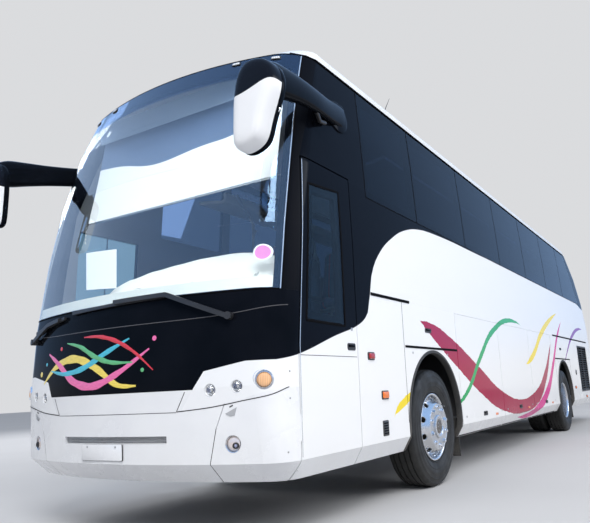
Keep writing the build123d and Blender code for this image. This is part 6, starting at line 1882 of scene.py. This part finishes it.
def filled_pad(name, rings, finish, voxel, channels=()):
    """A pad filled by a cloth simulation, as (points, faces); channels are the (axis, place, depth, width) of sewn
    lines."""
    form = Shape()
    form.rings(rings, finish)
    pad, remesh = with_modifier(name + "_pad", form.mesh(name + "_pad"), "REMESH")
    remesh.mode, remesh.voxel_size = "VOXEL", voxel
    even = worked_out(pad)
    before = [v.co.copy() for v in even.vertices]
    pad, cloth_pad = with_modifier(name + "_fill", even, "CLOTH")
    cloth_pad.settings.use_pressure = True
    cloth_pad.settings.uniform_pressure_force = 4.0
    cloth_pad.settings.effector_weights.gravity = 0.0
    cloth_pad.settings.quality = 5
    cloth_pad.point_cache.frame_start, cloth_pad.point_cache.frame_end = 1, FILL_FRAMES
    for frame_number in range(1, FILL_FRAMES + 1):
        bpy.context.scene.frame_set(frame_number)
    even = worked_out(pad)
    bpy.context.scene.frame_set(1)
    for old, v in zip(before, even.vertices):
        move = v.co - old
        if move.length > FILL_LIMIT:
            v.co = old + move * (FILL_LIMIT / move.length)
    pad, smooth = with_modifier(name + "_smooth", even, "SUBSURF")
    smooth.levels = smooth.render_levels = 1
    final = worked_out(pad)
    for axis, place, depth, width in channels:
        middle = sum((v.co for v in final.vertices), Vector()) / len(final.vertices)
        for v in final.vertices:
            pull = depth * math.exp(-((v.co[axis] - place) / width) ** 2)
            inward = middle - v.co
            inward[axis] = 0.0
            if inward.length > 1e-6:
                v.co += inward.normalized() * pull
    points = [tuple(v.co) for v in final.vertices]
    faces = [tuple(p.vertices) for p in final.polygons]
    bpy.data.meshes.remove(final)
    return points, faces


def placed(pad, spot, lean):
    """A pad's points leaned about the X axis and moved to a place."""
    c, v = math.cos(lean), math.sin(lean)
    return [(spot[0] + x, spot[1] + y * c + z * v, spot[2] + z * c - y * v) for x, y, z in pad[0]], pad[1]


SEAT_ROWS = [-0.15 + 0.80 * n for n in range(11)]
# Stations on the right that stay free of seats
MIDDLE_STAIRS = (3.28, 4.70)
# Back shell of a seat: height, further back and half width of its rows, then its section
SHELL_ROWS = [(0.395, 0.512, 0.205), (0.60, 0.532, 0.208), (0.85, 0.556, 0.204), (1.02, 0.572, 0.186),
              (1.095, 0.578, 0.150)]
SHELL_SECTION = [(-1, -0.012), (-0.9, 0.008), (0, 0.014), (0.9, 0.008), (1, -0.012), (0, -0.004)]
DECK_Z = 1.560
BACK_LEAN = math.radians(6.5)
FILL_FRAMES, FILL_LIMIT = 20, 0.024
cushion_pad = filled_pad("seat_cushion", pad_rings([
    (-0.050, 0.175, 0.180), (-0.040, 0.192, 0.196), (0.0, 0.200, 0.204), (0.030, 0.196, 0.198), (0.046, 0.180, 0.182)]),
    seat_cloth, 0.036, channels=[(0, -0.115, 0.010, 0.010), (0, 0.115, 0.010, 0.010)])
back_pad = filled_pad("seat_back", pad_rings([
    (-0.330, 0.180, 0.030), (-0.315, 0.200, 0.044), (-0.15, 0.204, 0.046), (0.05, 0.200, 0.042),
    (0.20, 0.192, 0.044), (0.28, 0.176, 0.044), (0.325, 0.150, 0.036), (0.338, 0.125, 0.024)]),
    seat_cloth, 0.036, channels=[(2, 0.16, 0.012, 0.012), (0, -0.115, 0.008, 0.010), (0, 0.115, 0.008, 0.010)])


def seats(side, label):
    """Passenger seats on one side: padded cushions and backs, and the frames that carry them."""
    pads, frames = Shape(), Shape()
    for s in SEAT_ROWS:
        if side < 0 and MIDDLE_STAIRS[0] <= s <= MIDDLE_STAIRS[1]:
            continue
        y = along(s)
        for x in (side * 0.470, side * 0.935):
            pads.add(*placed(cushion_pad, (x, along(s + 0.215), DECK_Z + 0.372), -0.06), seat_cloth)
            pads.add(*placed(back_pad, (x, along(s + 0.492), DECK_Z + 0.768), BACK_LEAN), seat_cloth)
            frames.rings([[(x + a * wide, y + back + b, DECK_Z + z) for a, b in SHELL_SECTION]
                          for z, back, wide in SHELL_ROWS], grey_plastic)
            frames.tube([(x + a, y + back, DECK_Z + z) for a, back, z in (
                (-0.10, 0.575, 0.90), (-0.09, 0.600, 0.885), (0.09, 0.600, 0.885), (0.10, 0.575, 0.90))], 0.007,
                black_plastic, 6)
        for x in (side * 0.250, side * 0.7025, side * 1.170):
            frames.bar(x, 0.018, (y + 0.130, DECK_Z + 0.555), (y + 0.430, DECK_Z + 0.588), black_plastic, 0.010)
            frames.tube([(x, y + 0.430, DECK_Z + 0.570), (x, y + 0.485, DECK_Z + 0.560)], 0.013, black_plastic, 8)
        for x in (side * 0.42, side * 0.98):
            frames.tube([(x, y + 0.27, DECK_Z + 0.006), (x, y + 0.27, DECK_Z + 0.300)], 0.020, steel, 10)
            frames.bar(x, 0.035, (y + 0.12, DECK_Z + 0.001), (y + 0.42, DECK_Z + 0.012), steel, 0.003)
        for front, rear in ((0.10, 0.15), (0.36, 0.41)):
            frames.block((side * 0.26, y + front, DECK_Z + 0.290), (side * 1.16, y + rear, DECK_Z + 0.315), steel,
                         0.004)
    soft = pads.piece(f"passenger_seats_{label}", "seat_cloth")
    return soft, frames.piece(f"seat_frames_{label}", "grey_plastic")


seat_sets = [piece for side, label in ((1, "left"), (-1, "right")) for piece in seats(side, label)]
for piece in seat_sets:
    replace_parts(piece, "passenger_seats")


def drivers_chair():
    """The driver's seat: padded cushion, back and head pad on a sprung pedestal."""
    soft, hard = Shape(), Shape()
    for name, rows, voxel, channels, spot, lean in (
            ("cushion", [(-0.050, 0.205, 0.205), (-0.038, 0.228, 0.226), (0.0, 0.236, 0.234), (0.030, 0.230, 0.226),
                         (0.046, 0.212, 0.206)],
             0.020, [(0, -0.135, 0.012, 0.010), (0, 0.135, 0.012, 0.010)], (-1.500, 1.390), -0.05),
            ("back", [(-0.300, 0.200, 0.032), (-0.285, 0.226, 0.048), (-0.10, 0.236, 0.052), (0.12, 0.226, 0.048),
                      (0.24, 0.205, 0.044), (0.285, 0.170, 0.036), (0.300, 0.130, 0.024)],
             0.020, [(2, 0.10, 0.010, 0.010), (0, -0.135, 0.010, 0.010), (0, 0.135, 0.010, 0.010)], (-1.240, 1.730),
             math.radians(7)),
            ("head", [(-0.075, 0.095, 0.024), (-0.062, 0.120, 0.034), (0.0, 0.128, 0.038), (0.050, 0.120, 0.034),
                      (0.068, 0.098, 0.022)], 0.016, [], (-1.188, 2.100), math.radians(7))):
        pad = filled_pad("driver_" + name, pad_rings(rows), drivers_cloth, voxel, channels)
        soft.add(*placed(pad, at(0.600, *spot), lean), drivers_cloth)
    hard.block(at(0.400, -1.680, 0.966), at(0.800, -1.300, 1.010), black_plastic, 0.02)
    for k in range(7):
        grow, low = 0.0 if k % 2 else 0.018, 0.038 * k
        hard.block((0.450 - grow, along(-1.620) - grow, 1.008 + low), (0.750 + grow, along(-1.360) + grow, 1.046 + low),
                   black_rubber, 0.012)
    hard.block(at(0.385, -1.715, 1.274), at(0.815, -1.290, 1.326), black_plastic, 0.018)
    for x in (0.53, 0.67):
        hard.tube([at(x, -1.208, 1.98), at(x, -1.196, 2.06)], 0.008, steel, 8)
    for x in (0.352, 0.848):
        hard.bar(x, 0.026, (along(-1.560), 1.600), (along(-1.270), 1.640), black_plastic, 0.014)
    pads = soft.piece("drivers_pads", "seat_cloth")
    return pads, hard.piece("drivers_pedestal", "black_plastic")


for piece in drivers_chair():
    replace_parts(piece, "drivers_seat")


# ---------------------------------------------------------------- racks and rails in the cabin
RACK_PROFILE = [(1.172, 3.000), (0.840, 2.950), (0.790, 2.958), (0.772, 2.985), (0.776, 3.050), (0.800, 3.075),
                (0.818, 3.060), (0.815, 3.000), (0.840, 2.985), (1.172, 3.035)]


def cabin_racks():
    """Luggage racks with reading lamps along both sides, and grab rails by the steps."""
    racks = Shape()
    for side in (1, -1):
        racks.rings([[at(side * x, -0.60 + 0.80 * k, z) for x, z in RACK_PROFILE] for k in range(11)], pale_trim)
        for s in SEAT_ROWS:
            for x in (0.90, 0.96):
                racks.lathe([(0.0, -0.004), (0.018, -0.004), (0.020, -0.010), (0.026, -0.008), (0.026, 0.002),
                             (0.0, 0.002)], at(side * x, s + 0.35, 2.958 + (x - 0.84) * 0.15), (0, 0, 1),
                            grey_plastic, 14)
    for x in (-0.33, 0.33):
        racks.tube([at(x, -0.70, 1.565), at(x, -0.70, 2.60), at(x * 1.6, -0.70 - 0.02, 2.95)], 0.016, steel, 12)
    racks.piece("cabin_racks", "cream_plastic")


cabin_racks()


# ---------------------------------------------------------------- floor, lights, world
FLOOR_HALF = 60.0


def make_floor():
    """A plain pale floor, seen as an even backdrop but keeping the coach's shadow."""
    mesh = bpy.data.meshes.new("studio_floor")
    mesh.from_pydata([(x * FLOOR_HALF, y * FLOOR_HALF, 0) for x, y in ((-1, -1), (1, -1), (1, 1), (-1, 1))], [],
                     [(0, 1, 2, 3)])
    made, tree, shader = material("studio_floor", (0.55, 0.55, 0.56), 0.8, Specular_IOR_Level=0.1)
    worn = noise(tree, own_point(tree), 0.5, 5.0)
    coloured(tree, shader, blend_colour(tree, worn, (0.52, 0.52, 0.53, 1), (0.58, 0.58, 0.59, 1)))
    mesh.materials.append(made)
    link(bpy.data.objects.new("studio_floor", mesh))


def soft_light(name, place, target, size, power, glossy=True):
    """An area lamp that looks at a point."""
    data = bpy.data.lights.new(name, "AREA")
    data.shape, data.energy = "RECTANGLE", power
    data.size, data.size_y = size
    lamp = link(bpy.data.objects.new(name, data))
    aim = (Vector(target) - Vector(place)).to_track_quat("-Z", "Y").to_matrix().to_4x4()
    lamp.matrix_world = Matrix.Translation(place) @ aim
    lamp.visible_glossy = glossy


def make_world():
    """Pale studio air: an even light, a pale backdrop to the camera, and blue above in reflections."""
    world = bpy.data.worlds.new("studio_air")
    bpy.context.scene.world = world
    world.use_nodes = True
    tree = world.node_tree
    path = put(tree, "ShaderNodeLightPath").outputs
    up = put(tree, "ShaderNodeSeparateXYZ", {0: put(tree, "ShaderNodeTexCoord").outputs["Generated"]}).outputs[2]
    mirrored = blend_colour(tree, ramp(tree, up, 0.01, 0.09), (0.80, 0.81, 0.84, 1), (0.48, 0.76, 1.25, 1))
    seen = calc(tree, "MAXIMUM", path["Is Camera Ray"], path["Is Transmission Ray"])
    shade = blend_colour(tree, path["Is Glossy Ray"], (0.62, 0.65, 0.70, 1), mirrored)
    shade = blend_colour(tree, seen, shade, (0.83, 0.84, 0.86, 1))
    tree.links.new(shade, tree.nodes["Background"].inputs["Color"])
    tree.nodes["Background"].inputs["Strength"].default_value = 0.85


make_floor()
make_world()
soft_light("key_lamp", (9.0, -14.0, 12.0), (0.0, 0.0, 1.5), (9.0, 7.0), 2250.0, glossy=False)
soft_light("side_lamp", (16.0, 4.0, 9.0), (0.0, 1.0, 1.5), (14.0, 6.0), 1250.0)
soft_light("far_lamp", (-13.0, 2.0, 10.0), (0.0, 0.0, 2.0), (12.0, 7.0), 1200.0, glossy=False)
